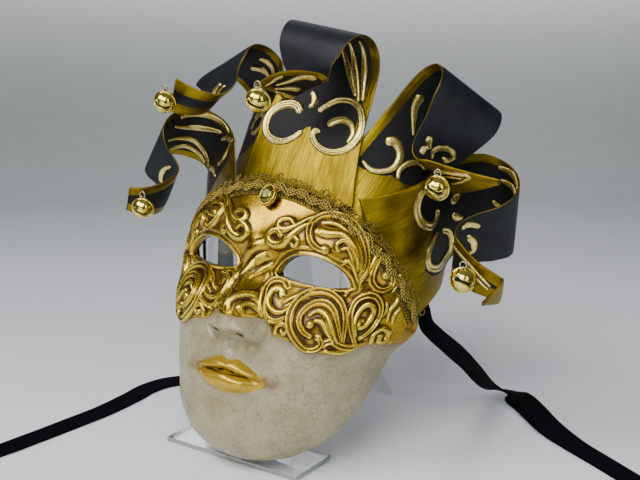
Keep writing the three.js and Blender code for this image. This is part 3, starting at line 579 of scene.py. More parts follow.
# Route of each ribbon in the part's frame, and the direction across it
RIBBONS = {
    "ribbon_right": np.array([
        (65, 74, 110, 0, 1, 0), (70, 82, 106, 0, 1, 0), (75, 87, 99, -0.35, 0.9, 0),
        (78, 90, 88, -0.75, 0.65, 0), (79, 91, 77, -0.9, 0.4, -0.1), (80.5, 94, 70, -1, 0.1, -0.3),
        (82, 103, 61, -1, 0, -0.35), (84, 117, 49, -1, 0, -0.3), (86, 134, 34, -1, 0, -0.2),
        (87, 151, 18.5, -1, 0, -0.15), (89, 164, 9, -0.95, 0.2, -0.2), (96, 171, 4.6, -0.5, 0.8, 0),
        (108, 165, 4.4, 0.2, 0.9, 0.35), (121, 154, 4.6, 0.5, 0.8, 0.4), (138, 141, 3.4, 0.55, 0.8, 0.25),
        (159, 130, 1.8, 0.5, 0.85, 0.05), (184, 118, 1.2, 0.45, 0.9, 0), (212, 103, 1.2, 0.5, 0.85, 0),
        (244, 84, 1.2, 0.5, 0.85, 0),
    ], float),
    "ribbon_left": np.array([
        (-60, 77, 122, 0, 1, 0.2), (-62, 82, 112, 0, 1, 0), (-64, 84, 94, 0, 1, 0), (-66, 86, 70, 0, 1, 0),
        (-69, 87, 46, 0, 1, 0), (-75, 88, 24, 0, 1, 0), (-85, 86, 8, -0.1, 1, 0),
        (-96, 78, 1.8, -0.6, 0.8, 0),
        (-104, 66, 1.3, -0.9, 0.4, 0), (-107, 52, 1.2, -1, 0.1, 0), (-106, 36, 1.2, -1, 0, 0),
        (-106, 10, 1.2, -1, 0, 0), (-109, -16, 1.2, -1, 0.1, 0), (-113, -46, 1.2, -1, 0.1, 0),
        (-118, -74, 1.2, -1, 0.3, 0), (-130, -104, 1.2, -1, 0.4, 0),
    ], float),
}
# Bent sheet of the stand: half widths of the plate and of the rear leg, and (depth, height) at its
# front end, its two bends and its rear end
SHEET = 3.0
STAND_HALF = 47.5
STAND_SIDE = 2.5
LEG_HALF = 28.0
STAND_LINE = [(0, 1.5), (35.5, 1.5), (46, 139), (134, -3.35)]


# Meshes
def piece(name, points, faces, look, stands_for=(), smooth=True, values=None, normals=None, uv=None):
    """A mesh piece from points in the part's frame, in millimetres."""
    mesh = bpy.data.meshes.new(name)
    points = np.asarray(points, float)
    faces = np.asarray(faces, int)
    corners = faces.shape[1]
    mesh.vertices.add(len(points))
    mesh.vertices.foreach_set("co", (points * MM).astype(np.float32).ravel())
    mesh.loops.add(faces.size)
    mesh.loops.foreach_set("vertex_index", faces.ravel())
    mesh.polygons.add(len(faces))
    mesh.polygons.foreach_set("loop_start", np.arange(0, faces.size, corners))
    mesh.update(calc_edges=True)
    mesh.polygons.foreach_set("use_smooth", np.full(len(faces), smooth))
    for key, value in (values or {}).items():
        layer = mesh.attributes.new(key, "FLOAT", "POINT")
        layer.data.foreach_set("value", np.asarray(value, np.float32).ravel())
    if uv is not None:
        layer = mesh.uv_layers.new(name="UVMap")
        layer.data.foreach_set("uv", np.asarray(uv, np.float32)[faces.ravel()].ravel())
    if normals is not None:
        mesh.normals_split_custom_set_from_vertices(np.asarray(normals, np.float32))
    mesh.materials.append(look)
    made = bpy.data.objects.new(name, mesh)
    bpy.context.scene.collection.objects.link(made)
    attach(made, "root")
    if stands_for:
        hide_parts(*stands_for)
    return made


def grid_faces(rows, columns, closed=False):
    """Faces of a grid of points, row by row, whose rows may close on themselves."""
    j, i = np.meshgrid(np.arange(rows - 1), np.arange(columns if closed else columns - 1), indexing="ij")
    right = (i + 1) % columns
    low, high = j * columns, (j + 1) * columns
    return np.stack([low + i, low + right, high + right, high + i], -1).reshape(-1, 4)


def closed_strip(rows, ring, lanes, last):
    """Faces of a closed strip of rings whose ends join corner k of a ring to its corner last - k."""
    caps = np.array([(k, k + 1, last - 1 - k, last - k) for k in range(lanes)])
    return np.vstack([grid_faces(rows, ring, closed=True), caps, ((rows - 1) * ring + caps)[:, ::-1]])


def turned(directions):
    """Directions from the mask's frame to the part's."""
    return to_part(directions) - CHIN_PLACE


def tube(path, radius, sides=8, up=(0, 0, 1), closed=False):
    """Points, faces and (length, round) coordinates of a tube along a path."""
    path = np.asarray(path, float)
    radius = np.broadcast_to(np.asarray(radius, float), len(path))
    if closed:
        run = np.roll(path, -1, axis=0) - np.roll(path, 1, axis=0)
    else:
        run = np.gradient(path, axis=0)
    run = normalised(run)
    side = normalised(np.cross(run, np.broadcast_to(np.asarray(up, float), path.shape)))
    top = np.cross(side, run)
    angle = np.linspace(0, 2 * math.pi, sides, endpoint=False)
    ring = side[:, None] * np.cos(angle)[None, :, None] + top[:, None] * np.sin(angle)[None, :, None]
    points = path[:, None] + ring * radius[:, None, None]
    rows = len(path)
    faces = grid_faces(rows, sides, closed=True)
    if closed:
        here, end = np.arange(sides), (rows - 1) * sides
        there = (here + 1) % sides
        faces = np.vstack([faces, np.stack([end + here, end + there, there, here], -1)])
    length = lengths_along(path)
    coordinate = np.stack([np.repeat(length, sides), np.tile(angle / (2 * math.pi), rows)], -1)
    return points.reshape(-1, 3), faces[:, ::-1], coordinate


def joined(parts):
    """Several (points, faces, ...) as one."""
    start = 0
    gathered = [[] for _ in parts[0]]
    for part in parts:
        for k, value in enumerate(part):
            gathered[k].append(value + start if k == 1 else value)
        start += len(part[0])
    return [np.concatenate(g) for g in gathered]


# Materials
class Nodes:
    """Short calls for shader nodes."""

    def __init__(self, tree):
        self.tree = tree

    def link(self, source, target):
        self.tree.links.new(source, target)

    def add(self, kind, **settings):
        node = self.tree.nodes.new(kind)
        for key, value in settings.items():
            setattr(node, key, value)
        return node

    def put(self, socket, value):
        if isinstance(value, bpy.types.NodeSocket):
            self.link(value, socket)
        else:
            socket.default_value = value

    def attribute(self, name):
        return self.add("ShaderNodeAttribute", attribute_name=name).outputs["Fac"]

    def position(self, scale=1000):
        """The place in the part's frame, in millimetres unless another scale is given."""
        where = self.add("ShaderNodeTexCoord").outputs["Object"]
        mapping = self.add("ShaderNodeMapping")
        mapping.inputs["Scale"].default_value = (scale, scale, scale)
        self.link(where, mapping.inputs["Vector"])
        return mapping.outputs["Vector"]

    def on_piece(self):
        """The distance along a piece and the place across or around it."""
        place = self.add("ShaderNodeUVMap", uv_map="UVMap").outputs["UV"]
        parts = self.add("ShaderNodeSeparateXYZ")
        self.link(place, parts.inputs[0])
        return parts.outputs[0], parts.outputs[1]

    def vector(self, x, y, z=0.0):
        node = self.add("ShaderNodeCombineXYZ")
        for socket, value in zip(node.inputs, (x, y, z)):
            self.put(socket, value)
        return node.outputs[0]

    def noise(self, where, scale, detail=3.0, rough=0.5, distortion=0.0):
        node = self.add("ShaderNodeTexNoise")
        self.link(where, node.inputs["Vector"])
        plain = {"Scale": scale, "Detail": detail, "Roughness": rough, "Distortion": distortion}
        for key, value in plain.items():
            node.inputs[key].default_value = value
        return node.outputs["Fac"]

    def math(self, operation, a, b=0.0, clamp=False):
        node = self.add("ShaderNodeMath", operation=operation, use_clamp=clamp)
        self.put(node.inputs[0], a)
        self.put(node.inputs[1], b)
        return node.outputs[0]

    def plus(self, a, b):
        return self.math("ADD", a, b)

    def times(self, a, b, clamp=False):
        return self.math("MULTIPLY", a, b, clamp)

    def range(self, value, low, high, to_low=0.0, to_high=1.0, smooth=True):
        node = self.add("ShaderNodeMapRange", interpolation_type="SMOOTHSTEP" if smooth else "LINEAR")
        self.put(node.inputs["Value"], value)
        for key, number in zip(("From Min", "From Max", "To Min", "To Max"), (low, high, to_low, to_high)):
            self.put(node.inputs[key], number)
        return node.outputs["Result"]

    def mix(self, factor, a, b, kind="RGBA"):
        node = self.add("ShaderNodeMix", data_type=kind)
        for key, value in (("Factor", factor), ("A", a), ("B", b)):
            self.put(node.inputs[key], value)
        return node.outputs["Result"]

    def blend(self, factor, a, b):
        return self.mix(factor, a, b, "FLOAT")

    def bump(self, height, strength, distance):
        node = self.add("ShaderNodeBump")
        self.put(node.inputs["Height"], height)
        node.inputs["Strength"].default_value = strength
        node.inputs["Distance"].default_value = distance
        return node.outputs["Normal"]


def new_material(name):
    """A material, its shader, and the short calls for its nodes."""
    look = bpy.data.materials.new(name)
    look.use_nodes = True
    return look, look.node_tree.nodes["Principled BSDF"], Nodes(look.node_tree)


def rgb(red, green, blue):
    """A colour as it looks on screen, 0 to 255, in the shader's linear scale."""
    linear = [((v / 255 + 0.055) / 1.055) ** 2.4 if v > 10 else v / 255 / 12.92 for v in (red, green, blue)]
    return (*linear, 1.0)


def face_material():
    look, shader, n = new_material("gilt_and_crackled_ivory")
    where = n.position()
    gilt = n.attribute("gilt")
    cavity = n.attribute("cavity")
    browning_and_shade = n.attribute("browning_and_shade")
    hollow_shade = n.attribute("hollow_shade")
    fine = n.noise(where, 0.9, 4.0, 0.6)
    broad = n.noise(where, 0.09, 3.0, 0.55)
    middle = n.noise(where, 0.35, 4.0, 0.6)

    # Ivory lacquer with a fine net of cracks
    wobble = n.add("ShaderNodeTexNoise")
    n.put(wobble.inputs["Vector"], where)
    wobble.inputs["Scale"].default_value = 0.22
    wobble.inputs["Detail"].default_value = 3.0
    shift = n.add("ShaderNodeVectorMath", operation="MULTIPLY_ADD")
    n.link(wobble.outputs["Color"], shift.inputs[0])
    shift.inputs[1].default_value = (5.0, 5.0, 5.0)
    n.link(where, shift.inputs[2])
    nets = []
    for scale, wide, strength in ((0.185, 0.03, 1.0), (0.43, 0.045, 0.6)):
        cells = n.add("ShaderNodeTexVoronoi", feature="DISTANCE_TO_EDGE")
        n.link(shift.outputs[0], cells.inputs["Vector"])
        cells.inputs["Scale"].default_value = scale
        net = n.range(cells.outputs["Distance"], 0.0, wide, 1.0, 0.0)
        nets.append(n.times(net, strength))
    crack = n.math("MAXIMUM", nets[0], n.times(nets[1], n.range(broad, 0.42, 0.6)))
    crack = n.times(crack, n.range(middle, 0.3, 0.6, 0.5, 1.0))
    ivory = n.mix(n.range(broad, 0.3, 0.7), rgb(172, 164, 128), rgb(158, 150, 114))
    ivory = n.mix(n.times(n.range(middle, 0.45, 0.75), 0.35), ivory, rgb(160, 150, 114))
    ivory = n.mix(n.times(crack, 0.8), ivory, rgb(98, 84, 56))
    # Brown over the ivory: browning along the gilt edge, painted shade in the creases at the mouth, nose
    # and lower lip, a patch at the right mouth corner, and darker towards the side edges
    brown_and_shade = n.times(browning_and_shade, n.range(middle, 0.25, 0.7, 0.35, 1.0), clamp=True)
    ivory = n.mix(brown_and_shade, ivory, rgb(112, 82, 34))

    # Gold leaf: a painted highlight, pale, on the crests; brown in the hollows, patina with painted shade;
    # broken by fine wear
    level = n.plus(cavity, n.range(middle, 0.2, 0.8, -0.22, 0.22, smooth=False))
    gold = n.mix(n.range(level, -0.9, -0.15), rgb(40, 25, 6), rgb(200, 162, 38))
    gold = n.mix(n.range(level, 0.05, 0.8), gold, rgb(250, 225, 80))
    gold = n.mix(n.range(fine, 0.56, 0.72, 0.0, 0.55), gold, rgb(110, 84, 18))
    # The same brown of browning and painted crease shade also dulls the gold
    gold = n.mix(n.times(brown_and_shade, 0.6), gold, rgb(104, 64, 10))

    edge = n.range(n.plus(gilt, n.range(fine, 0.2, 0.8, -0.18, 0.18, smooth=False)), 0.4, 0.6)
    colour = n.mix(edge, ivory, gold)
    # Painted shade: near-black in the nostrils and along the mouth slit
    colour = n.mix(hollow_shade, colour, rgb(26, 16, 10))
    n.put(shader.inputs["Base Color"], colour)
    metal = n.times(n.range(level, -0.9, -0.2, 0.55, 1.0), edge)
    metal = n.times(metal, n.range(n.attribute("satin"), 0.0, 1.0, 1.0, 0.55))
    n.put(shader.inputs["Metallic"], metal)
    rough_gold = n.range(fine, 0.3, 0.7, 0.17, 0.32)
    rough_ivory = n.range(middle, 0.3, 0.7, 0.24, 0.36)
    n.put(shader.inputs["Roughness"], n.blend(edge, rough_ivory, rough_gold))
    shader.inputs["Coat Weight"].default_value = 0.12
    shader.inputs["Coat Roughness"].default_value = 0.18
    grain = n.times(fine, n.blend(edge, 0.12, 0.5))
    height = n.math("SUBTRACT", grain, n.times(crack, n.blend(edge, 0.5, 0.0)))
    n.put(shader.inputs["Normal"], n.bump(height, 0.55, 0.0003))
    return look


def lining_material():
    look, shader, n = new_material("black_lining")
    where = n.position()
    pulp = n.noise(where, 0.35, 5.0, 0.65)
    fine = n.noise(where, 1.6, 3.0, 0.6)
    n.put(shader.inputs["Base Color"], n.mix(n.range(pulp, 0.3, 0.7), rgb(16, 16, 18), rgb(34, 33, 34)))
    n.put(shader.inputs["Roughness"], n.range(fine, 0.3, 0.7, 0.6, 0.8))
    shader.inputs["Specular IOR Level"].default_value = 0.35
    n.put(shader.inputs["Normal"], n.bump(n.plus(pulp, n.times(fine, 0.3)), 0.6, 0.0006))
    return look


def leather_material():
    look, shader, n = new_material("gilt_leather")
    where = n.position()
    front = n.attribute("front")
    border = n.attribute("border")
    base = n.attribute("base")
    along, across = n.attribute("along"), n.attribute("across")
    streaks = n.noise(n.vector(across, n.times(along, 0.07)), 0.75, 5.0, 0.62, 0.6)
    cloud = n.noise(n.vector(across, n.times(along, 0.35)), 0.09, 3.0, 0.5)
    fine = n.noise(where, 1.3, 3.0, 0.6)
    ragged = n.range(fine, 0.2, 0.8, -0.45, 0.45, smooth=False)
    inside = n.range(n.plus(border, ragged), -0.15, 0.15, 1.0, 0.0)
    below = n.range(n.plus(base, n.times(ragged, 1.4)), -0.2, 0.2, 1.0, 0.0)
    gilded = n.times(n.math("MAXIMUM", inside, below), front)
    gilded = n.math("MAXIMUM", gilded, n.attribute("edge"))
    gold = n.mix(n.range(streaks, 0.2, 0.8), rgb(96, 78, 8), rgb(140, 116, 12))
    gold = n.mix(n.range(cloud, 0.4, 0.75, 0.0, 0.55), gold, rgb(178, 152, 28))
    gold = n.mix(n.range(cloud, 0.5, 0.2, 0.0, 0.6), gold, rgb(70, 56, 10))
    gold = n.mix(n.times(n.attribute("shade"), 0.75), gold, rgb(66, 54, 8))
    black = n.mix(n.range(fine, 0.3, 0.7), rgb(4, 5, 7), rgb(10, 11, 14))
    # The back is painted a lighter blue-grey than the front: a painted reflection of the sky on the black
    # leather
    back = n.mix(n.range(cloud, 0.3, 0.7), rgb(14, 17, 23), rgb(26, 30, 38))
    black = n.mix(front, back, black)
    n.put(shader.inputs["Base Color"], n.mix(gilded, black, gold))
    n.put(shader.inputs["Metallic"], n.times(gilded, 0.92))
    shader.inputs["Specular IOR Level"].default_value = 0.3
    rough_gold = n.range(streaks, 0.3, 0.7, 0.38, 0.24)
    n.put(shader.inputs["Roughness"], n.blend(gilded, n.range(fine, 0.3, 0.7, 0.5, 0.62), rough_gold))
    grain = n.add("ShaderNodeTexVoronoi", feature="F1")
    n.link(where, grain.inputs["Vector"])
    grain.inputs["Scale"].default_value = 1.1
    pebble = n.times(grain.outputs["Distance"], n.blend(gilded, 0.6, 0.2))
    height = n.plus(pebble, n.times(n.times(streaks, gilded), 1.3))
    n.put(shader.inputs["Normal"], n.bump(height, 0.5, 0.0003))
    return look


def paint_material():
    look, shader, n = new_material("pale_gold_relief_paint")
    where = n.position()
    rim = n.attribute("rim")
    shade = n.attribute("shade")
    mottle = n.noise(where, 0.5, 4.0, 0.6)
    fine = n.noise(where, 1.8, 3.0, 0.6)
    body = n.mix(n.range(mottle, 0.35, 0.65), rgb(230, 202, 88), rgb(252, 236, 150))
    # Darker bronze towards the rim of each stroke, along a ragged line
    rim_edge = n.plus(rim, n.range(fine, 0.2, 0.8, -0.15, 0.15))
    body = n.mix(n.range(rim_edge, 0.5, 0.92), body, rgb(104, 80, 14))
    body = n.mix(n.times(shade, 0.85), body, rgb(130, 104, 34))
    n.put(shader.inputs["Base Color"], body)
    n.put(shader.inputs["Metallic"], n.range(mottle, 0.3, 0.7, 0.75, 0.95))
    n.put(shader.inputs["Roughness"], n.range(fine, 0.3, 0.7, 0.18, 0.32))
    shader.inputs["Coat Weight"].default_value = 0.5
    shader.inputs["Coat Roughness"].default_value = 0.12
    n.put(shader.inputs["Normal"], n.bump(n.plus(mottle, n.times(fine, 0.4)), 0.5, 0.0003))
    return look


def braid_material(name, light, mid, deep, pitch):
    look, shader, n = new_material(name)
    where = n.position()
    along, around = n.on_piece()
    turns = n.plus(n.times(along, 2 * math.pi / pitch), n.times(around, 4 * math.pi))
    twist = n.range(n.math("SINE", turns), -1.0, 1.0, 0.0, 1.0, smooth=False)
    mottle = n.noise(where, 0.4, 4.0, 0.6)
    fine = n.noise(where, 2.6, 2.0, 0.5)
    # Colour along the twist of the cord: the deep colour in its grooves is painted shade, the light one on
    # its crests a painted highlight
    colour = n.mix(n.range(n.times(twist, mottle), 0.05, 0.45), deep, mid)
    crest = n.plus(n.times(twist, 0.6), n.times(fine, 0.6))
    colour = n.mix(n.range(crest, 0.62, 0.95), colour, light)
    n.put(shader.inputs["Base Color"], colour)
    n.put(shader.inputs["Metallic"], n.range(mottle, 0.3, 0.7, 0.45, 0.8))
    n.put(shader.inputs["Roughness"], n.range(fine, 0.3, 0.7, 0.34, 0.55))
    n.put(shader.inputs["Normal"], n.bump(n.plus(twist, n.times(fine, 0.6)), 0.8, 0.0003))
    return look


def metal_material(name, light, deep, rough, spots):
    look, shader, n = new_material(name)
    where = n.position()
    mottle = n.noise(where, 0.35, 3.0, 0.5)
    fine = n.noise(where, spots, 4.0, 0.6)
    colour = n.mix(n.range(mottle, 0.3, 0.75, 0.0, 0.6), light, deep)
    # The slot is painted near-black and not metallic: painted shade of the bell's hollow inside
    colour = n.mix(n.attribute("slot_shade"), colour, rgb(6, 5, 4))
    n.put(shader.inputs["Base Color"], colour)
    n.put(shader.inputs["Metallic"], n.math("SUBTRACT", 1.0, n.attribute("slot_shade"), clamp=True))
    n.put(shader.inputs["Roughness"], n.range(fine, 0.35, 0.75, rough, rough + 0.16))
    n.put(shader.inputs["Normal"], n.bump(fine, 0.12, 0.0002))
    return look


def satin_material():
    look, shader, n = new_material("black_satin")
    along, across = n.on_piece()
    weft = n.math("SINE", n.times(along, 2 * math.pi / 0.45))
    warp = n.math("SINE", n.times(across, 2 * math.pi / 0.6))
    weave = n.plus(weft, n.times(warp, 0.5))
    drift = n.noise(n.vector(n.times(along, 0.1), across), 0.6, 3.0, 0.5)
    n.put(shader.inputs["Base Color"], n.mix(n.range(drift, 0.3, 0.7), rgb(2, 3, 7), rgb(5, 6, 12)))
    n.put(shader.inputs["Roughness"], n.range(drift, 0.3, 0.7, 0.5, 0.62))
    shader.inputs["Specular IOR Level"].default_value = 0.03
    n.put(shader.inputs["Normal"], n.bump(weave, 0.35, 0.00012))
    return look


def glass_material():
    look, shader, n = new_material("olive_glass")
    where = n.position()
    cloud = n.noise(where, 0.5, 2.0, 0.5)
    facet_light = n.attribute("facet_light")
    # Each facet is painted lighter or darker, standing in for the glints and dark reflections of cut glass
    colour = n.mix(facet_light, rgb(5, 6, 1), rgb(168, 166, 20))
    colour = n.mix(n.range(cloud, 0.5, 0.7, 0.0, 0.2), colour, rgb(160, 148, 40))
    n.put(shader.inputs["Base Color"], colour)
    n.put(shader.inputs["Metallic"], n.range(facet_light, 0.0, 1.0, 0.8, 0.95))
    n.put(shader.inputs["Roughness"], n.range(cloud, 0.3, 0.7, 0.04, 0.09))
    shader.inputs["Coat Weight"].default_value = 0.3
    shader.inputs["Coat Roughness"].default_value = 0.02
    return look


def acrylic_material(name, colour, clear, cover):
    look, shader, n = new_material(name)
    where = n.position()
    smear = n.noise(where, 0.05, 3.0, 0.5)
    fine = n.noise(where, 0.9, 2.0, 0.5)
    n.put(shader.inputs["Roughness"], n.range(smear, 0.3, 0.8, 0.02, 0.07))
    n.put(shader.inputs["Normal"], n.bump(fine, 0.03, 0.0001))
    shader.inputs["Base Color"].default_value = colour
    shader.inputs["Transmission Weight"].default_value = clear
    shader.inputs["IOR"].default_value = 1.49
    shader.inputs["Alpha"].default_value = cover
    return look


FACE_LOOK = face_material()
LINING_LOOK = lining_material()
LEATHER_LOOK = leather_material()
PAINT_LOOK = paint_material()
CORD_LOOK = braid_material("braid_cord", rgb(222, 196, 92), rgb(174, 144, 50), rgb(80, 62, 16), 1.7)
EDGE_LOOK = braid_material("braid_edge", rgb(202, 176, 76), rgb(142, 114, 36), rgb(56, 42, 10), 1.5)
# The web is painted very dark: painted shade in the gaps between the cords
WEB_LOOK = braid_material("braid_web", rgb(120, 98, 38), rgb(62, 50, 16), rgb(20, 15, 4), 1.1)
BELL_LOOK = metal_material("bell_brass", rgb(250, 228, 112), rgb(208, 180, 58), 0.05, 1.2)
STEEL_LOOK = metal_material("ring_steel", rgb(196, 190, 168), rgb(130, 122, 98), 0.12, 1.5)
SETTING_LOOK = metal_material("gem_setting", rgb(214, 184, 84), rgb(150, 116, 40), 0.16, 1.0)
SATIN_LOOK = satin_material()
GLASS_LOOK = glass_material()
ACRYLIC_LOOK = acrylic_material("clear_acrylic", (0.95, 0.975, 0.985, 1), 1.0, 0.2)
# The lip's cut edges are painted dark grey: painted shade in the clear edges
ACRYLIC_EDGE_LOOK = acrylic_material("clear_acrylic_edge", (0.1, 0.11, 0.12, 1), 0.3, 0.95)


# Camera and lights
CAMERA = {"place": (449.8, -558.7, 344.9), "target": (51.2, 21.3, 136.4), "lens": 75.94, "film": 36}


def aim(made, place, target):
    made.location = Vector(place) * MM
    direction = Vector(target) - Vector(place)
    made.rotation_mode = "QUATERNION"
    made.rotation_quaternion = direction.to_track_quat("-Z", "Y")


camera_data = bpy.data.cameras.new("camera")
camera_data.sensor_width = CAMERA["film"]
camera_data.lens = CAMERA["lens"]
camera_data.clip_start = 0.02
camera = bpy.data.objects.new("camera", camera_data)
bpy.context.scene.collection.objects.link(camera)
aim(camera, CAMERA["place"], CAMERA["target"])
bpy.context.scene.camera = camera


def area_light(name, place, target, size, power, colour=(1, 1, 1)):
    data = bpy.data.lights.new(name, "AREA")
    data.shape = "RECTANGLE"
    data.size, data.size_y = size
    data.energy = power
    data.color = colour
    made = bpy.data.objects.new(name, data)
    bpy.context.scene.collection.objects.link(made)
    aim(made, place, target)


area_light("window", (-650, -750, 1250), (0, 0, 130), (0.7, 0.7), 12, (1.0, 0.985, 0.96))
area_light("front_top", (250, -800, 1050), (0, 30, 100), (1.0, 0.7), 13, (0.97, 0.985, 1.0))
area_light("side", (1250, -250, 700), (20, 0, 120), (0.4, 0.9), 2.2, (1.0, 0.98, 0.95))
area_light("far_wash", (-1500, 2600, 1500), (-1700, 2500, 0), (2.0, 1.5), 26, (0.98, 0.99, 1.0))
area_light("low_front", (250, -1400, 300), (0, 0, 120), (1.2, 0.5), 3)


def studio_world():
    """Plain grey room, lighter above."""
    world = bpy.data.worlds.new("studio")
    bpy.context.scene.world = world
    world.use_nodes = True
    background = world.node_tree.nodes["Background"]
    n = Nodes(world.node_tree)
    parts = n.add("ShaderNodeSeparateXYZ")
    n.link(n.add("ShaderNodeTexCoord").outputs["Generated"], parts.inputs[0])
    level = n.range(parts.outputs[2], -0.3, 0.9)
    n.put(background.inputs["Color"], n.mix(level, rgb(74, 77, 82), rgb(206, 210, 214)))
    background.inputs["Strength"].default_value = 0.28


def floor_piece():
    """A floor painted lighter and darker with the distance ahead: painted light and shade, as on a lit
    paper sweep.
    """
    half, ahead = 4.0, (-0.566, 0.824, 0)
    corners = [(-half, -half, 0), (half, -half, 0), (half, half, 0), (-half, half, 0)]
    mesh = bpy.data.meshes.new("floor")
    mesh.from_pydata(corners, [], [(0, 1, 2, 3)])
    look, shader, n = new_material("pale_floor")
    where = n.position(1)
    distance = n.add("ShaderNodeVectorMath", operation="DOT_PRODUCT")
    n.link(where, distance.inputs[0])
    distance.inputs[1].default_value = ahead
    tone = n.add("ShaderNodeValToRGB")
    n.link(n.range(distance.outputs["Value"], -0.5, 2.5, smooth=False), tone.inputs[0])
    stops = [(0.0, rgb(252, 254, 255)), (0.167, rgb(246, 250, 253)), (0.267, rgb(222, 227, 233)),
             (0.36, rgb(172, 178, 181)), (0.5, rgb(182, 188, 187)), (0.7, rgb(214, 220, 219)),
             (1.0, rgb(252, 254, 254))]
    shades = tone.color_ramp.elements
    while len(shades) < len(stops):
        shades.new(0.5)
    for shade, (place, colour) in zip(shades, stops):
        shade.position = place
        shade.color = colour
    n.put(shader.inputs["Base Color"], tone.outputs["Color"])
    n.put(shader.inputs["Roughness"], n.range(n.noise(where, 30, 2.0, 0.5), 0.3, 0.7, 0.42, 0.5))
    mesh.materials.append(look)
    made = bpy.data.objects.new("floor", mesh)
    bpy.context.scene.collection.objects.link(made)


studio_world()
floor_piece()


# Ribbons
def ribbon_line(points, count):
    """Evenly spaced places on a smooth line through the points, the share of each, and its length."""
    p = np.vstack([2 * points[0] - points[1], points, 2 * points[-1] - points[-2]])
    segments = len(points) - 1
    places, values = [], []
    for i in range(segments):
        p0, p1, p2, p3 = p[i:i + 4]
        d0, d1, d2 = (max(np.linalg.norm(b - a), 1e-4) ** 0.5 for a, b in ((p0, p1), (p1, p2), (p2, p3)))
        t1 = ((p1 - p0) / d0 - (p2 - p0) / (d0 + d1) + (p2 - p1) / d1) * d1
        t2 = ((p2 - p1) / d1 - (p3 - p1) / (d1 + d2) + (p3 - p2) / d2) * d1
        f = np.linspace(0, 1, 60, endpoint=i == segments - 1)[:, None]
        square, cube = 3 * (p2 - p1) - 2 * t1 - t2, 2 * (p1 - p2) + t1 + t2
        places.append(p1 + t1 * f + square * f ** 2 + cube * f ** 3)
        values.append((i + f[:, 0]) / segments)
    places, values = np.vstack(places), np.concatenate(values)
    length = lengths_along(places)
    s = np.linspace(0, length[-1], count)
    even = np.stack([np.interp(s, length, places[:, k]) for k in range(3)], -1)
    return even, np.interp(s, length, values), s


def ribbon_piece(name):
    rows = RIBBONS[name]
    count, lanes = 240, 12
    line, share, s = ribbon_line(rows[:, :3], count)
    run = normalised(np.gradient(line, axis=0))
    wide = np.stack([smooth_column(rows, column, share) for column in (3, 4, 5)], -1)
    wide = normalised(wide - run * (wide * run).sum(1, keepdims=True))
    face = np.cross(wide, run)
    sag = 0.45 * np.sin(s / 19) + 0.25 * np.sin(s / 7.3 + 1)
    line[:, 2] -= 0.45 * ramp(5, 1.5, line[:, 2])
    rings = []
    lift = ramp(3, 12, line[:, 2])
    for outward in (1, -1):
        for k in range(lanes + 1):
            u = outward * (1 - 2 * k / lanes)
            curl = lift * (0.5 * u * u + 0.35 * u * np.sin(s / 11)) + 0.12 * abs(u) ** 8
            thick = 0.3 + 0.12 * (abs(u) > 0.86)
            rings.append(line + wide * u * RIBBON_WIDTH / 2
                         + face * (curl + sag * lift * 0.5 + outward * thick)[:, None])
    ring = len(rings)
    points = np.stack(rings, 1).reshape(-1, 3)
    caps = np.array([(k, k + 1, ring - 2 - k, ring - 1 - k) for k in range(lanes)])
    far_caps = (count - 1) * ring + caps[:, [0, 3, 2, 1]]
    faces = np.vstack([grid_faces(count, ring, closed=True), caps, far_caps])
    lane = np.linspace(0, RIBBON_WIDTH, lanes + 1)
    uv = np.stack([np.repeat(s, ring), np.tile(np.concatenate([lane[::-1], lane]), count)], -1)
    made = piece(name + "_satin", points, faces[:, ::-1], SATIN_LOOK, [name], uv=uv)


for ribbon_name in RIBBONS:
    ribbon_piece(ribbon_name)


# Face shell: columns of its grid, rows of its ivory and of its gilt part, the share of the height at
# which they meet, and rows of the lining
COLUMNS, LOW_ROWS, HIGH_ROWS, SPLIT = 560, 150, 270, 0.44
LINING_ROWS = 131
# Brown painted shade in the creases of the ivory at the mouth corners, beside the nose and under the lower
# lip, alike on both sides: strength, side, height, reach to the side and upward
CREASE_SHADE = [(0.9, 24, 50, 6, 3.5), (0.5, 13, 68, 6, 5), (0.45, 0, 33, 14, 4.5)]


def side_angles(count):
    """Angles from the left edge of the face to the right one, closer together in the middle."""
    s = np.linspace(-1, 1, count)
    return np.radians(90 * s * (0.82 + 0.18 * s * s))


def cut_eyes(p):
    """Cuts both eye openings from a grid: its points, the faces left, and the edges of the openings."""
    flat = p.reshape(-1, 3).copy()
    quads = grid_faces(*p.shape[:2])
    side, level = np.abs(flat[:, 0]), flat[:, 2]
    near = np.where((level > 92) & (level < 134) & (side > 8) & (side < 64))[0]
    sign = np.sign(flat[near, 0])
    gap, spot = outline_distance(np.stack([side[near], level[near]], -1), eye_outline())
    inside = np.zeros(len(flat), bool)
    inside[near] = gap < 0
    kept = quads[~inside[quads].all(1)]
    used = np.zeros(len(flat), bool)
    used[kept.ravel()] = True
    du = np.gradient(p, axis=1).reshape(-1, 3)
    dv = np.gradient(p, axis=0).reshape(-1, 3)
    move = np.where(used[near] & inside[near])[0]
    index = near[move]
    dx = spot[move, 0] * sign[move] - flat[index, 0]
    dz = spot[move, 1] - flat[index, 2]
    det = du[index, 0] * dv[index, 2] - dv[index, 0] * du[index, 2]
    cu = (dx * dv[index, 2] - dz * dv[index, 0]) / det
    cv = (dz * du[index, 0] - dx * du[index, 2]) / det
    flat[index, 0] += dx
    flat[index, 2] += dz
    flat[index, 1] += cu * du[index, 1] + cv * dv[index, 1]
    edges = np.concatenate([kept[:, [k, (k + 1) % 4]] for k in range(4)])
    key = np.sort(edges, 1) @ np.array([len(flat), 1])
    _, first, count = np.unique(key, return_index=True, return_counts=True)
    rim = edges[first[count == 1]]
    return flat, kept, rim[inside[rim].all(1)]


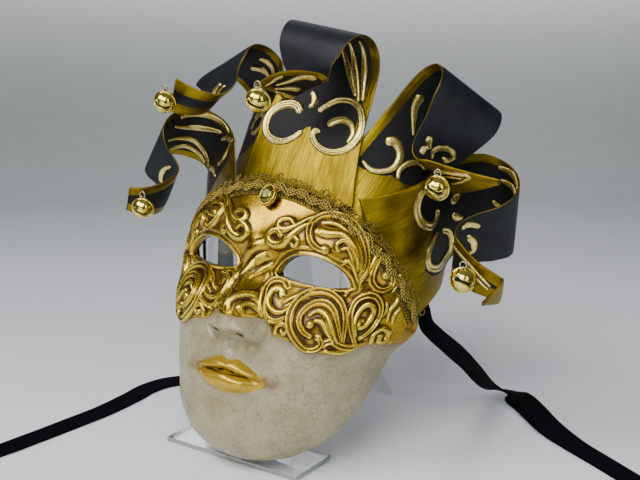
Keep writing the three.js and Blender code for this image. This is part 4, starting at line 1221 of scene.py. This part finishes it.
def walls(flat, rim, normals):
    """Short walls from the edge of an opening to the inside of the shell."""
    verts, where = np.unique(rim.ravel(), return_inverse=True)
    where = where.reshape(rim.shape)
    count = len(verts)
    back = np.zeros((count, 3))
    back[:, 1] = WALL * 1.08 / np.clip(-normals[verts, 1], 0.55, 1)
    steps = (0.0, 0.25, 0.7, 1.0)
    layers = [flat[verts] + back * f for f in steps]
    strip = np.stack([where[:, 1], where[:, 0], where[:, 0] + count, where[:, 1] + count], -1)
    return np.vstack(layers), np.vstack([strip + k * count for k in range(len(steps) - 1)])


def face_tones(x, z, degrees):
    """Browning, painted shade in creases, nostrils and the mouth slit, and the satin gold of the lips, 0 to
    1, at places of the face.
    """
    side = np.abs(x)
    edge = z - np.interp(degrees, GILT_EDGE[:, 0], GILT_EDGE[:, 1])
    # Browning along the lower edge of the gilding
    browning_and_shade = 0.55 * bump(np.minimum(edge, 0) / 3.5)
    # Painted shade in the creases at the mouth corners, beside the nose and under the lower lip
    for strength, middle, level, wide, tall in CREASE_SHADE:
        browning_and_shade += strength * bump(np.hypot((side - middle) / wide, (z - level) / tall))
    # A brown patch beside the right corner of the mouth
    browning_and_shade += 0.9 * bump(np.hypot((x - 27) / 5, (z - 49.5) / 3))
    # Darker towards the side edges of the face, and painted shade along the mouth line
    browning_and_shade += 0.4 * ramp(70, 88, degrees) + 0.3 * bump((z - 51) / 1.2) * (side < 24)
    # Painted shade, near-black, in the nostrils and along the mouth slit
    nostrils = 0.95 * bump(np.hypot((side - 8.2) / 3.5, (z - 73.6) / 1.7))
    mouth = 0.75 * bump((z - 50.2) / 0.5) * ramp(24, 16, side)
    hollow_shade = ramp(0.35, 0.8, nostrils + mouth)
    return {"browning_and_shade": np.clip(browning_and_shade, 0, 1), "hollow_shade": hollow_shade, "satin": ramp(64, 62, z)}


def carved_face():
    """Grid of the carved outside, the places under it on the inside, and the values that colour it."""
    a = side_angles(COLUMNS + 1)
    t = np.concatenate([np.linspace(0, SPLIT, LOW_ROWS + 1)[:-1], np.linspace(SPLIT, 1, HIGH_ROWS + 1)])
    angle, share = np.meshgrid(a, t)
    smooth = face_surface(angle, share)
    normal = surface_normal(face_surface, angle, share)
    x, z = smooth[..., 0].ravel(), smooth[..., 2].ravel()
    gap = np.full(len(x), 50.0)
    near = np.where((z > 88) & (z < 138) & (np.abs(x) > 4) & (np.abs(x) < 70))[0]
    gap[near] = outline_distance(np.stack([np.abs(x[near]), z[near]], -1), eye_outline(80))[0]
    height, gilt = relief(angle.ravel(), z, x, gap)
    height = height.reshape(angle.shape)
    height = height + 0.6 * softened(height, 6)
    # Crests against hollows of the relief: the crests get a painted highlight, the hollows brown patina
    # with painted shade
    cavity = np.clip((height - softened(height, 3)) / 0.42, -1, 1)
    # Below the gilding, and so on the lips, a fixed level half way to the crests' painted highlight
    cavity[:LOW_ROWS - 30] = 0.5
    fade = ramp(88, 82, np.degrees(np.abs(angle))) * ramp(1.0, 0.985, share)
    uneven = 0.16 * np.sin(x / 7.1 + 0.6 * np.sin(z / 9)) * np.sin(z / 6.3 + 1.3)
    uneven = uneven + 0.08 * np.sin(x / 2.9 + z / 3.7)
    p = smooth + normal * (height * fade + uneven.reshape(angle.shape) * 0.6)[..., None]
    values = face_tones(x, z, np.degrees(np.abs(angle.ravel())))
    values.update(gilt=gilt, cavity=cavity.ravel())
    return p, smooth - normal * WALL, values


def face_outside(p, values):
    """The carved outside in three pieces, and the walls of the eye openings."""
    normals = normalised(np.cross(np.gradient(p, axis=1), np.gradient(p, axis=0))).reshape(-1, 3)
    flat, kept, rim = cut_eyes(p)
    low = kept[:, 0] // p.shape[1] < LOW_ROWS
    left = kept[:, 0] % p.shape[1] < COLUMNS // 2
    parts = {"face_lower": low, "face_gilt_left": ~low & left, "face_gilt_right": ~low & ~left}
    for name, chosen in parts.items():
        faces = kept[chosen]
        verts, where = np.unique(faces.ravel(), return_inverse=True)
        piece(name, to_part(flat[verts]), where.reshape(faces.shape), FACE_LOOK, ["face"],
              values={key: value[verts] for key, value in values.items()}, normals=turned(normals[verts]))
    points, faces = walls(flat, rim, normals)
    tones = {"gilt": 1.0, "cavity": -0.3, "browning_and_shade": 0.5, "hollow_shade": 0.0, "satin": 0.0}
    piece("face_eye_walls", to_part(points), faces, FACE_LOOK, ["face"],
          values={key: np.full(len(points), tone) for key, tone in tones.items()})


def face_lining(p, under):
    """The black inside, and the rounded edge that joins it to the outside."""
    rows, columns = p.shape[:2]
    border = np.concatenate([
        np.arange(columns), np.arange(1, rows) * columns + columns - 1,
        (rows - 1) * columns + np.arange(columns - 2, -1, -1), np.arange(rows - 2, 0, -1) * columns,
    ])
    outer, back = p.reshape(-1, 3)[border], under.reshape(-1, 3)[border]
    place = np.meshgrid(side_angles(LINING_ROWS), np.linspace(0, 1, LINING_ROWS))
    inner_flat, inner_kept, _ = cut_eyes(face_surface(*place) - surface_normal(face_surface, *place) * WALL)
    middle = (outer + back) / 2 + normalised(outer - np.array([0, 60, 80])) * 0.35
    loop = len(border)
    here = np.arange(loop)
    there = (here + 1) % loop
    strip = np.stack([here, here + loop, there + loop, there], -1)
    points, faces = joined([
        (inner_flat, inner_kept[:, ::-1]),
        (np.vstack([outer, middle, back]), np.vstack([strip, strip + loop])),
    ])
    piece("face_lining", to_part(points), faces, LINING_LOOK, ["face"])


shell_outside, shell_inside, shell_tones = carved_face()
face_outside(shell_outside, shell_tones)
face_lining(shell_outside, shell_inside)


# Points of gilt leather. Each skin lies SKIN off the middle of the leather, and the last FLAP
# millimetres of the lower right one, folded over, are gilded on both sides.
SKIN = LEATHER / 2 * 0.9
FLAP = 21


def leather_piece(name, fine):
    """One strip of leather with rounded edges, and how gilt or black each place on it is."""
    base_line, border, tongue, tongue_border = PANELS[name]
    lanes = 28
    u = np.concatenate([[-1, -0.985], np.linspace(-0.95, 0.95, lanes - 3), [0.985, 1]])
    along = fine[:, 11]
    half = fine[:, 9] / 2
    centre, across, normal, bow = fine[:, 0:3], fine[:, 3:6], fine[:, 6:9], fine[:, 10]
    ripple = 0.25 * np.sin(along / 9)[:, None] * np.cos(2.2 * u)[None]
    middle = centre[:, None] + across[:, None] * (u[None, :] * half[:, None])[..., None]
    middle = middle + normal[:, None] * (bow[:, None] * crown(u)[None] + ripple)[..., None]
    thick = SKIN * (1 - 0.35 * np.abs(u) ** 10)
    front = middle + normal[:, None] * thick[None, :, None]
    back = middle - normal[:, None] * thick[None, :, None]
    rounding = across[:, None] * 0.28
    right, left = middle[:, -1:] + rounding, middle[:, :1] - rounding
    ring = np.concatenate([front, right, back[:, ::-1], left], 1)
    count = ring.shape[1]
    places = np.broadcast_to(np.concatenate([u, [1], u[::-1], [-1]]), (len(fine), count)) * half[:, None]
    is_front = np.concatenate([np.ones(lanes + 1), [0.5], np.zeros(lanes + 1), [0.5]])
    is_edge = np.zeros(count)
    is_edge[[lanes + 1, count - 1]] = 1
    is_edge[[0, lanes, lanes + 2, count - 2]] = 0.5
    wide = np.where(along > tongue, tongue_border, border)
    wide = np.convolve(np.pad(wide, 5, mode="edge"), np.ones(11) / 11, "valid")
    low = np.array(base_line)
    start = np.interp(places, low[:, 0], low[:, 1])
    length = np.broadcast_to(along[:, None], places.shape)
    is_front = np.broadcast_to(is_front, places.shape)
    if name == "point_lower_right":
        flap = length > along[-1] - FLAP
        is_front = np.where(flap, 1.0, is_front)
        start = np.where(flap, length + 6, start)
    values = {
        "front": is_front,
        "edge": np.broadcast_to(is_edge, places.shape),
        "border": half[:, None] - np.abs(places) - wide[:, None],
        "base": length - start,
        "along": length,
        "across": places,
        "shade": ramp(18, 0, length) * 0.5 + 0.35 * bump((length - 96) / 26),
    }
    faces = closed_strip(len(fine), count, lanes, count - 2)
    piece(name + "_leather", to_part(ring.reshape(-1, 3)), faces, LEATHER_LOOK, [name],
          values={key: np.asarray(value).ravel() for key, value in values.items()})


def painted_scroll(fine, path, widths, high, ribs, side):
    """One raised stroke of paint: its points, faces, nearness to its rim, and shade."""
    line = spline(path, PAINT_STEP)
    lanes = 13
    share = np.linspace(0, 1, len(line))
    half = np.interp(share, [0, 0.5, 1], widths) * PAINT_SPREAD
    from_end = np.minimum(share, 1 - share) * len(line) * PAINT_STEP
    end = np.sqrt(np.clip(1 - (1 - from_end / half) ** 2, 0, 1))
    end = np.where(from_end > half, 1, end)
    half = half * np.maximum(end, 0.05)
    run = normalised(np.gradient(line, axis=0))
    u = np.linspace(-1, 1, lanes)
    rise = np.sqrt(np.clip(1 - u ** 2, 0, 1))
    if ribs == 2:
        rise = rise ** 0.7 * (0.74 - 0.26 * np.cos(2 * np.pi * u))
    sideways = np.stack([-run[:, 1], run[:, 0]], -1)
    spread = line[:, None] + sideways[:, None] * (half[:, None] * u[None])[..., None]
    lengths = spread[..., 0].ravel()
    leather_half = np.interp(lengths, fine[:, 11], fine[:, 9] / 2)
    across = np.clip(spread[..., 1].ravel() / leather_half, -1.02, 1.02)
    lift = (high * rise[None] * end[:, None] - 0.12).ravel()[:, None] + SKIN
    faces = grid_faces(len(line), lanes)
    if side > 0:
        faces = faces[:, ::-1]
    rim = np.broadcast_to(np.abs(u), (len(line), lanes)).ravel()
    return point_surface(fine, lengths, across, lift * side), faces, rim, 0.55 * bump((lengths - 92) / 26)


def point_pieces(name):
    fine = smooth_stations(point_stations(POINTS[name]), 1.6)
    leather_piece(name, fine)
    points, faces, rim, shade = joined([painted_scroll(fine, *scroll) for scroll in PAINTED[name]])
    piece(name + "_scrolls", to_part(points), faces, PAINT_LOOK,
          values={"rim": rim, "shade": shade})


for point_name in POINTS:
    point_pieces(point_name)


# Braid over the brow
def braid_frame(count):
    """Stations on the braid: outer edge, inner edge, normal and length along."""
    angles = np.linspace(-88, 88, 900)
    line = arch_point(angles)
    length = lengths_along(line)
    angles = np.interp(np.linspace(0, length[-1], count), length, angles)
    here = arch_point(angles)
    run = normalised(arch_point(angles + 1) - arch_point(angles - 1))
    facing = surface_normal(bare_face, np.radians(angles), np.full(count, 0.97))
    inward = np.cross(run, facing)
    outer = here - inward
    inner = here + inward * (BRAID["width"] - 1)
    inner[:, 1] -= feature_height(inner[:, 0], inner[:, 2])
    normal = normalised(np.cross(inner - outer, run))
    return outer, inner, normal, np.linspace(0, length[-1], count)


BRAID_ROWS = braid_frame(1600)


def on_braid(s, v, h):
    """Place at a length along the braid, a distance from its inner edge and a height."""
    outer, inner, normal, length = BRAID_ROWS
    s, v, h = (np.asarray(value, float) for value in np.broadcast_arrays(s, v, h))
    a, b, up = (np.stack([np.interp(s, length, rows[:, k]) for k in range(3)], -1)
                for rows in (outer, inner, normal))
    return b + (a - b) * (v / BRAID["width"])[..., None] + up * (BRAID["lift"] + h)[..., None]


BRAID_LENGTH = BRAID_ROWS[3][-1]
WAVES = 16
PITCH = BRAID_LENGTH / WAVES


def within_braid(s, margin=0.4):
    return np.clip(s, margin, BRAID_LENGTH - margin)


def braid_web():
    """The close woven band under the cords."""
    s = np.linspace(0.4, BRAID_LENGTH - 0.4, 1000)
    v = np.linspace(0, 1, 17)
    low = 1.6 + 0.25 * np.sin(2 * np.pi * s / 1.9)
    high = 7.4 + 0.7 * np.abs(np.cos(np.pi * s / PITCH)) ** 0.6 + 0.2 * np.sin(2 * np.pi * s / 1.3)
    width = low[:, None] + (high - low)[:, None] * v
    rise = 0.25 + 0.75 * np.sqrt(np.clip(1 - (2 * v - 1) ** 4, 0, 1))
    weave = 0.12 * np.sin(2 * np.pi * (s[:, None] + 0.6 * width) / 1.1)
    top = on_braid(s[:, None], width, rise[None] - 0.45 + weave)
    under = on_braid(s[:, None], width, -0.45)
    ring = np.concatenate([top, under[:, ::-1]], 1)
    count = ring.shape[1]
    faces = closed_strip(len(s), count, len(v) - 1, count - 1)
    around = np.concatenate([v, v[::-1]]) * 3.0
    uv = np.stack([np.repeat(s, count), np.tile(around, len(s))], -1)
    piece("braid_web", to_part(ring.reshape(-1, 3)), faces, WEB_LOOK, ["braid_trim"], uv=uv)


def braid_cords():
    """Two waving cords, and a fan of small loops in each wave."""
    s = np.linspace(0.4, BRAID_LENGTH - 0.4, 1000)
    swing = np.sin(2 * np.pi * s / PITCH)
    slope = np.cos(2 * np.pi * s / PITCH) * 2 * np.pi / PITCH * 2.1
    cords = []
    for side in (0.75, -0.75):
        path = on_braid(s - side * slope * 0.5, 5.1 + 2.1 * swing + side * (1 + 0.25 * slope ** 2), 1.15)
        cords.append(tube(path, 0.72, 8, up=(0, -1, 0)))
    q = np.linspace(0, 2 * np.pi, 27)[:-1]
    x = 0.78 * np.sin(q)
    for k in range(2 * WAVES):
        crest = (k + 0.5) * PITCH / 2
        up = 1 if k % 2 == 0 else -1
        for angle in (-74, -38, 0, 38, 74):
            y = 0.4 + (3.0 - 0.5 * abs(angle) / 74) * (0.5 - 0.5 * np.cos(q))
            a = math.radians(angle)
            ds = x * math.cos(a) + y * math.sin(a)
            dv = (y * math.cos(a) - x * math.sin(a)) * -up
            path = on_braid(within_braid(crest + ds, 0.5), 5.1 + up * 0.9 + dv, 0.95)
            cords.append(tube(path, 0.38, 6, up=(0, -1, 0), closed=True))
    points, faces, uv = joined(cords)
    piece("braid_cords", to_part(points), faces, CORD_LOOK, uv=uv)


def braid_edges():
    """Loops along the outer edge, uneven as handmade ones are, and small ones along the inner edge."""
    q = np.linspace(0, 2 * np.pi * round(BRAID_LENGTH / 2.7), int(BRAID_LENGTH * 9))
    middle = BRAID_LENGTH * q / q[-1]
    lobe = np.abs(np.cos(np.pi * middle / PITCH)) ** 0.7
    size = 1.15 + 0.3 * np.sin(1.7 * middle) + 0.3 * np.sin(0.83 * middle + 1)
    width = 7.6 + 1.9 * lobe + 1.35 * size * (1 - np.cos(q))
    height = 0.7 + 0.45 * np.sin(q) + 0.4 * np.sin(1.1 * middle)
    outer = on_braid(within_braid(middle + 1.45 * size * np.sin(q)), width, height)
    q = np.linspace(0, 2 * np.pi * round(BRAID_LENGTH / 2.0), int(BRAID_LENGTH * 7))
    middle = BRAID_LENGTH * q / q[-1]
    swell = 1 - np.cos(q)
    inner = on_braid(within_braid(middle - 0.85 * np.sin(q)), 1.55 - 0.75 * swell, 0.1 - 0.25 * swell)
    points, faces, uv = joined([tube(outer, 0.42, 6, up=(0, -1, 0)), tube(inner, 0.3, 6, up=(0, -1, 0))])
    piece("braid_edges", to_part(points), faces, EDGE_LOOK, uv=uv)


braid_web()
braid_cords()
braid_edges()


# Gem in its setting
BEZEL = np.array([
    (0.2, 0.0), (4.9, 0.0), (5.25, 0.12), (5.4, 0.5), (5.3, 0.9), (5.05, 1.1), (4.95, 1.5), (5.0, 2.1),
    (4.9, 2.5), (4.6, 2.62), (4.3, 2.5), (4.2, 2.25), (4.2, 1.25), (0.2, 1.2),
])
CLAW = np.array([(4.9, 1.6), (4.75, 2.7), (4.2, 3.2), (3.65, 3.3)])
BEAD = 0.46


def gem_seat():
    """Middle of the setting's foot on the braid, and the directions forward and up the face."""
    share = np.linspace(0.6, 1, 4000)
    t = np.interp(GEM_HEIGHT, bare_face(np.zeros(4000), share)[:, 2], share)
    here = np.array([0.0]), np.array([t])
    normal = surface_normal(bare_face, *here)[0]
    return bare_face(*here)[0] + normal * (0.35 + BRAID["lift"] + 1.4), normal, np.cross(normal, GEM_SIDE)


GEM_SIDE = np.array([1.0, 0, 0])
GEM_SEAT, GEM_NORMAL, GEM_UP = gem_seat()


def on_gem(x, height, z):
    """Place at a distance to the side, a height off the seat and a distance up, on the oval."""
    x, height, z = (np.asarray(value, float)[..., None] for value in np.broadcast_arrays(x, height, z))
    return GEM_SEAT + GEM_SIDE * x + GEM_NORMAL * height + GEM_UP * z * GEM_STRETCH


def gem_bezel():
    """Turned rim with a row of beads and four claws."""
    turns = 72
    q = np.linspace(0, 2 * np.pi, turns, endpoint=False)
    ring = on_gem(np.cos(q)[None] * BEZEL[:, :1], BEZEL[:, 1:], np.sin(q)[None] * BEZEL[:, :1])
    parts = [(ring.reshape(-1, 3), grid_faces(len(BEZEL), turns, closed=True))]
    beads = 26
    u, w = np.meshgrid(np.linspace(0, 2 * np.pi, 10, endpoint=False), np.linspace(0.02, np.pi - 0.02, 7))
    ball = np.stack([np.sin(w) * np.cos(u), np.sin(w) * np.sin(u), np.cos(w)], -1).reshape(-1, 3) * BEAD
    for k in range(beads):
        a = 2 * math.pi * k / beads
        middle = on_gem(5.12 * math.cos(a), 1.12, 5.12 * math.sin(a))
        parts.append((middle + ball, grid_faces(7, 10, closed=True)[:, ::-1]))
    for a in (0.5, math.pi - 0.5, math.pi + 0.5, -0.5):
        line = spline(on_gem(CLAW[:, 0] * math.cos(a), CLAW[:, 1], CLAW[:, 0] * math.sin(a)), 0.2)
        wide = 0.42 * np.sqrt(np.clip(1.02 - np.linspace(0, 1, len(line)) ** 6, 0.02, 1))
        parts.append(tube(line, wide, 8, up=(0, -1, 0.2))[:2])
    points, faces = joined(parts)
    piece("gem_bezel", to_part(points), faces, SETTING_LOOK, ["gem_setting"],
          values={"slot_shade": np.zeros(len(points))})


def gem_glass():
    """Faceted stone: rings of corners given by radius, height and turn, joined by flat faces."""
    rows = [(4.0, 1.55, 0.0), (4.05, 2.2, 0.0), (3.75, 2.9, 0.5), (3.1, 3.55, 0.0), (2.05, 4.05, 0.5)]
    facets = 14
    rings = []
    for radius, height, shift in rows:
        a = 2 * np.pi * (np.arange(facets) + shift) / facets
        rings.append(on_gem(radius * np.cos(a), height, radius * np.sin(a)))
    # Each facet gets a painted light from 0 to 1, glints and dark reflections set by its place, the top
    # facet nearly dark and the bottom ones dark
    soup, facet_light = [], []

    def add(corners, light):
        soup.append(corners)
        facet_light.extend([light] * len(corners))

    for r in range(len(rows) - 1):
        shift = round((rows[r + 1][2] - rows[r][2]) * 2)
        for k in range(facets):
            j = (k + 1) % facets
            a, b = rings[r][k], rings[r][j]
            light = 0.25 + 0.75 * ((k * 5 + r * 3) % 7) / 6
            if shift == 0:
                c, d = rings[r + 1][j], rings[r + 1][k]
                add((a, b, c), light)
                add((a, c, d), light)
            elif shift > 0:
                add((a, b, rings[r + 1][k]), light)
                add((b, rings[r + 1][j], rings[r + 1][k]), 1.1 - light)
            else:
                add((a, b, rings[r + 1][j]), light)
                add((a, rings[r + 1][j], rings[r + 1][k]), 1.1 - light)
    middle = on_gem(0, 4.1, 0)
    floor_middle = on_gem(0, 1.5, 0)
    for k in range(facets):
        j = (k + 1) % facets
        add((rings[-1][k], rings[-1][j], middle), 0.12)
        add((rings[0][j], rings[0][k], floor_middle), 0.0)
    points = np.array(soup).reshape(-1, 3)
    faces = np.arange(len(points)).reshape(-1, 3)
    piece("gem_glass", to_part(points), faces, GLASS_LOOK, ["gem"], smooth=False,
          values={"facet_light": facet_light})


gem_bezel()
gem_glass()


# Bells
def bell_ball(name, centre, slot):
    """Ball of two halves with a raised seam, and a slot with round ends in one of them."""
    pole = normalised(np.array(slot, float))
    side = normalised(np.cross(pole, np.array([0.45, 0, 1])))
    up = np.cross(side, pole)
    columns, rows, seam = 128, 72, math.pi / 2
    q = np.linspace(0, 2 * np.pi, columns, endpoint=False)
    beside_seam = seam + np.array([-0.12, -0.1, -0.075, -0.05, 0.05, 0.075, 0.1, 0.12])
    w = np.sort(np.concatenate([np.linspace(0.001, math.pi - 0.001, rows + 1), beside_seam]))
    around, down = np.meshgrid(q, w)
    outward = side * np.cos(around)[..., None] + up * np.sin(around)[..., None]
    ball = pole * np.cos(down)[..., None] + outward * np.sin(down)[..., None]
    run, off = np.abs(ball @ side * BELL_RADIUS) - BELL_SLOT["reach"], ball @ up * BELL_RADIUS
    slit = np.hypot(np.maximum(run, 0), off) - BELL_SLOT["half"]
    ends = np.hypot(run, off) - BELL_SLOT["end"]
    gap = np.where(ball @ pole > 0, np.minimum(slit, ends), 9.0)
    radius = BELL_RADIUS - 0.2 + 0.5 * ramp(0.11, 0.07, np.abs(down - seam))
    radius = radius + 0.2 * bump((gap - 0.3) / 0.35) - BELL_SLOT["depth"] * ramp(0.05, -0.3, gap)
    # The slot is painted as shade, near-black
    piece(name + "_ball", centre + (ball * radius[..., None]).reshape(-1, 3),
          grid_faces(len(w), columns, closed=True), BELL_LOOK, [name],
          values={"slot_shade": ramp(0.05, -0.12, gap)})


def bell_ring(name, centre):
    """Wire ring through a small staple on the top of the ball."""
    radius, wire = 2.0, 0.45
    a = np.linspace(0, 2 * np.pi, 49)[:-1]
    ring = np.stack([radius * np.cos(a), 0 * a, radius * np.sin(a) + BELL_RADIUS + radius - 0.6], -1)
    b = np.linspace(0, math.pi, 17)
    staple = np.stack([0 * b, 1.05 * np.cos(b), 1.25 * np.sin(b) + BELL_RADIUS - 0.4], -1)
    points, faces = joined([
        tube(centre + ring, wire, 12, up=(0, 1, 0), closed=True)[:2],
        tube(centre + staple, 0.4, 10, up=(1, 0, 0))[:2],
    ])
    piece(name + "_ring", points, faces, STEEL_LOOK, values={"slot_shade": np.zeros(len(points))})


for bell_name, (bell_middle, bell_slot) in BELLS.items():
    bell_ball(bell_name, to_part(bell_middle), bell_slot)
    bell_ring(bell_name, to_part(bell_middle))


# Stand of bent acrylic sheet
def stand_piece():
    """The bent sheet with bevelled edges. The cut edges of its lip are a piece of their own, painted dark
    grey as painted shade.
    """
    corners = [np.array(corner, float) for corner in STAND_LINE]
    line = [corners[0]]
    line.extend(corners[0] + (corners[1] - corners[0]) * f for f in (0.3, 0.6))
    for before, corner, after in zip(corners[:-2], corners[1:-1], corners[2:]):
        start = corner + 5 * normalised(before - corner)
        end = corner + 5 * normalised(after - corner)
        for f in np.linspace(0, 1, 21):
            line.append(start * (1 - f) ** 2 + 2 * corner * f * (1 - f) + end * f * f)
        if after is corners[-1]:
            line.append(end + (after - end) * 0.5)
        else:
            line.extend(end + (after - end) * f for f in np.linspace(0.08, 0.9, 30))
    line.append(corners[-1])
    line = np.array(line)
    run = normalised(np.gradient(line, axis=0))
    off = np.stack([run[:, 1], -run[:, 0]], -1)
    taper = np.interp(line[:, 1], [112, 150], [48.5, LEG_HALF])
    half = np.where(line[:, 0] > 50, LEG_HALF, np.minimum(STAND_HALF, taper))
    half = np.minimum.accumulate(np.where(line[:, 1] > 100, half, STAND_HALF))
    half = np.where(line[:, 0] > 50, LEG_HALF, half)
    bevel = 0.35
    outline = [(-1, bevel, 1, 0), (1, bevel, 1, 0), (1, 0, 1, bevel), (1, 0, -1, bevel),
               (1, bevel, -1, 0), (-1, bevel, -1, 0), (-1, 0, -1, bevel), (-1, 0, 1, bevel)]
    rings = []
    for side, inset, face, drop in outline:
        x = STAND_SIDE + side * (half - inset)
        yz = line + off * (face * (SHEET / 2 - drop))
        rings.append(np.stack([x, yz[:, 0], np.maximum(yz[:, 1], 0.02)], -1))
    ring = np.stack(rings, 1)
    faces = grid_faces(len(line), 8, closed=True)
    last = (len(line) - 1) * 8
    caps = np.array([(0, 1, 2, 7), (7, 2, 3, 6), (6, 3, 4, 5)])
    column = np.tile(np.arange(8), len(line) - 1)
    lip_edge = (column != 0) & (column != 4) & (np.repeat(line[1:, 0], 8) < 36)
    lip_edge &= np.repeat(line[1:, 1], 8) < 3
    sheet = np.vstack([faces[~lip_edge], last + caps])
    edges = np.vstack([faces[lip_edge], caps[:, ::-1]])
    for name, chosen, look, stands_for in (("stand_sheet", sheet, ACRYLIC_LOOK, ["stand"]),
                                           ("stand_lip_edges", edges, ACRYLIC_EDGE_LOOK, [])):
        verts, where = np.unique(chosen.ravel(), return_inverse=True)
        piece(name, ring.reshape(-1, 3)[verts], where.reshape(chosen.shape), look,
              stands_for, smooth=False)


stand_piece()
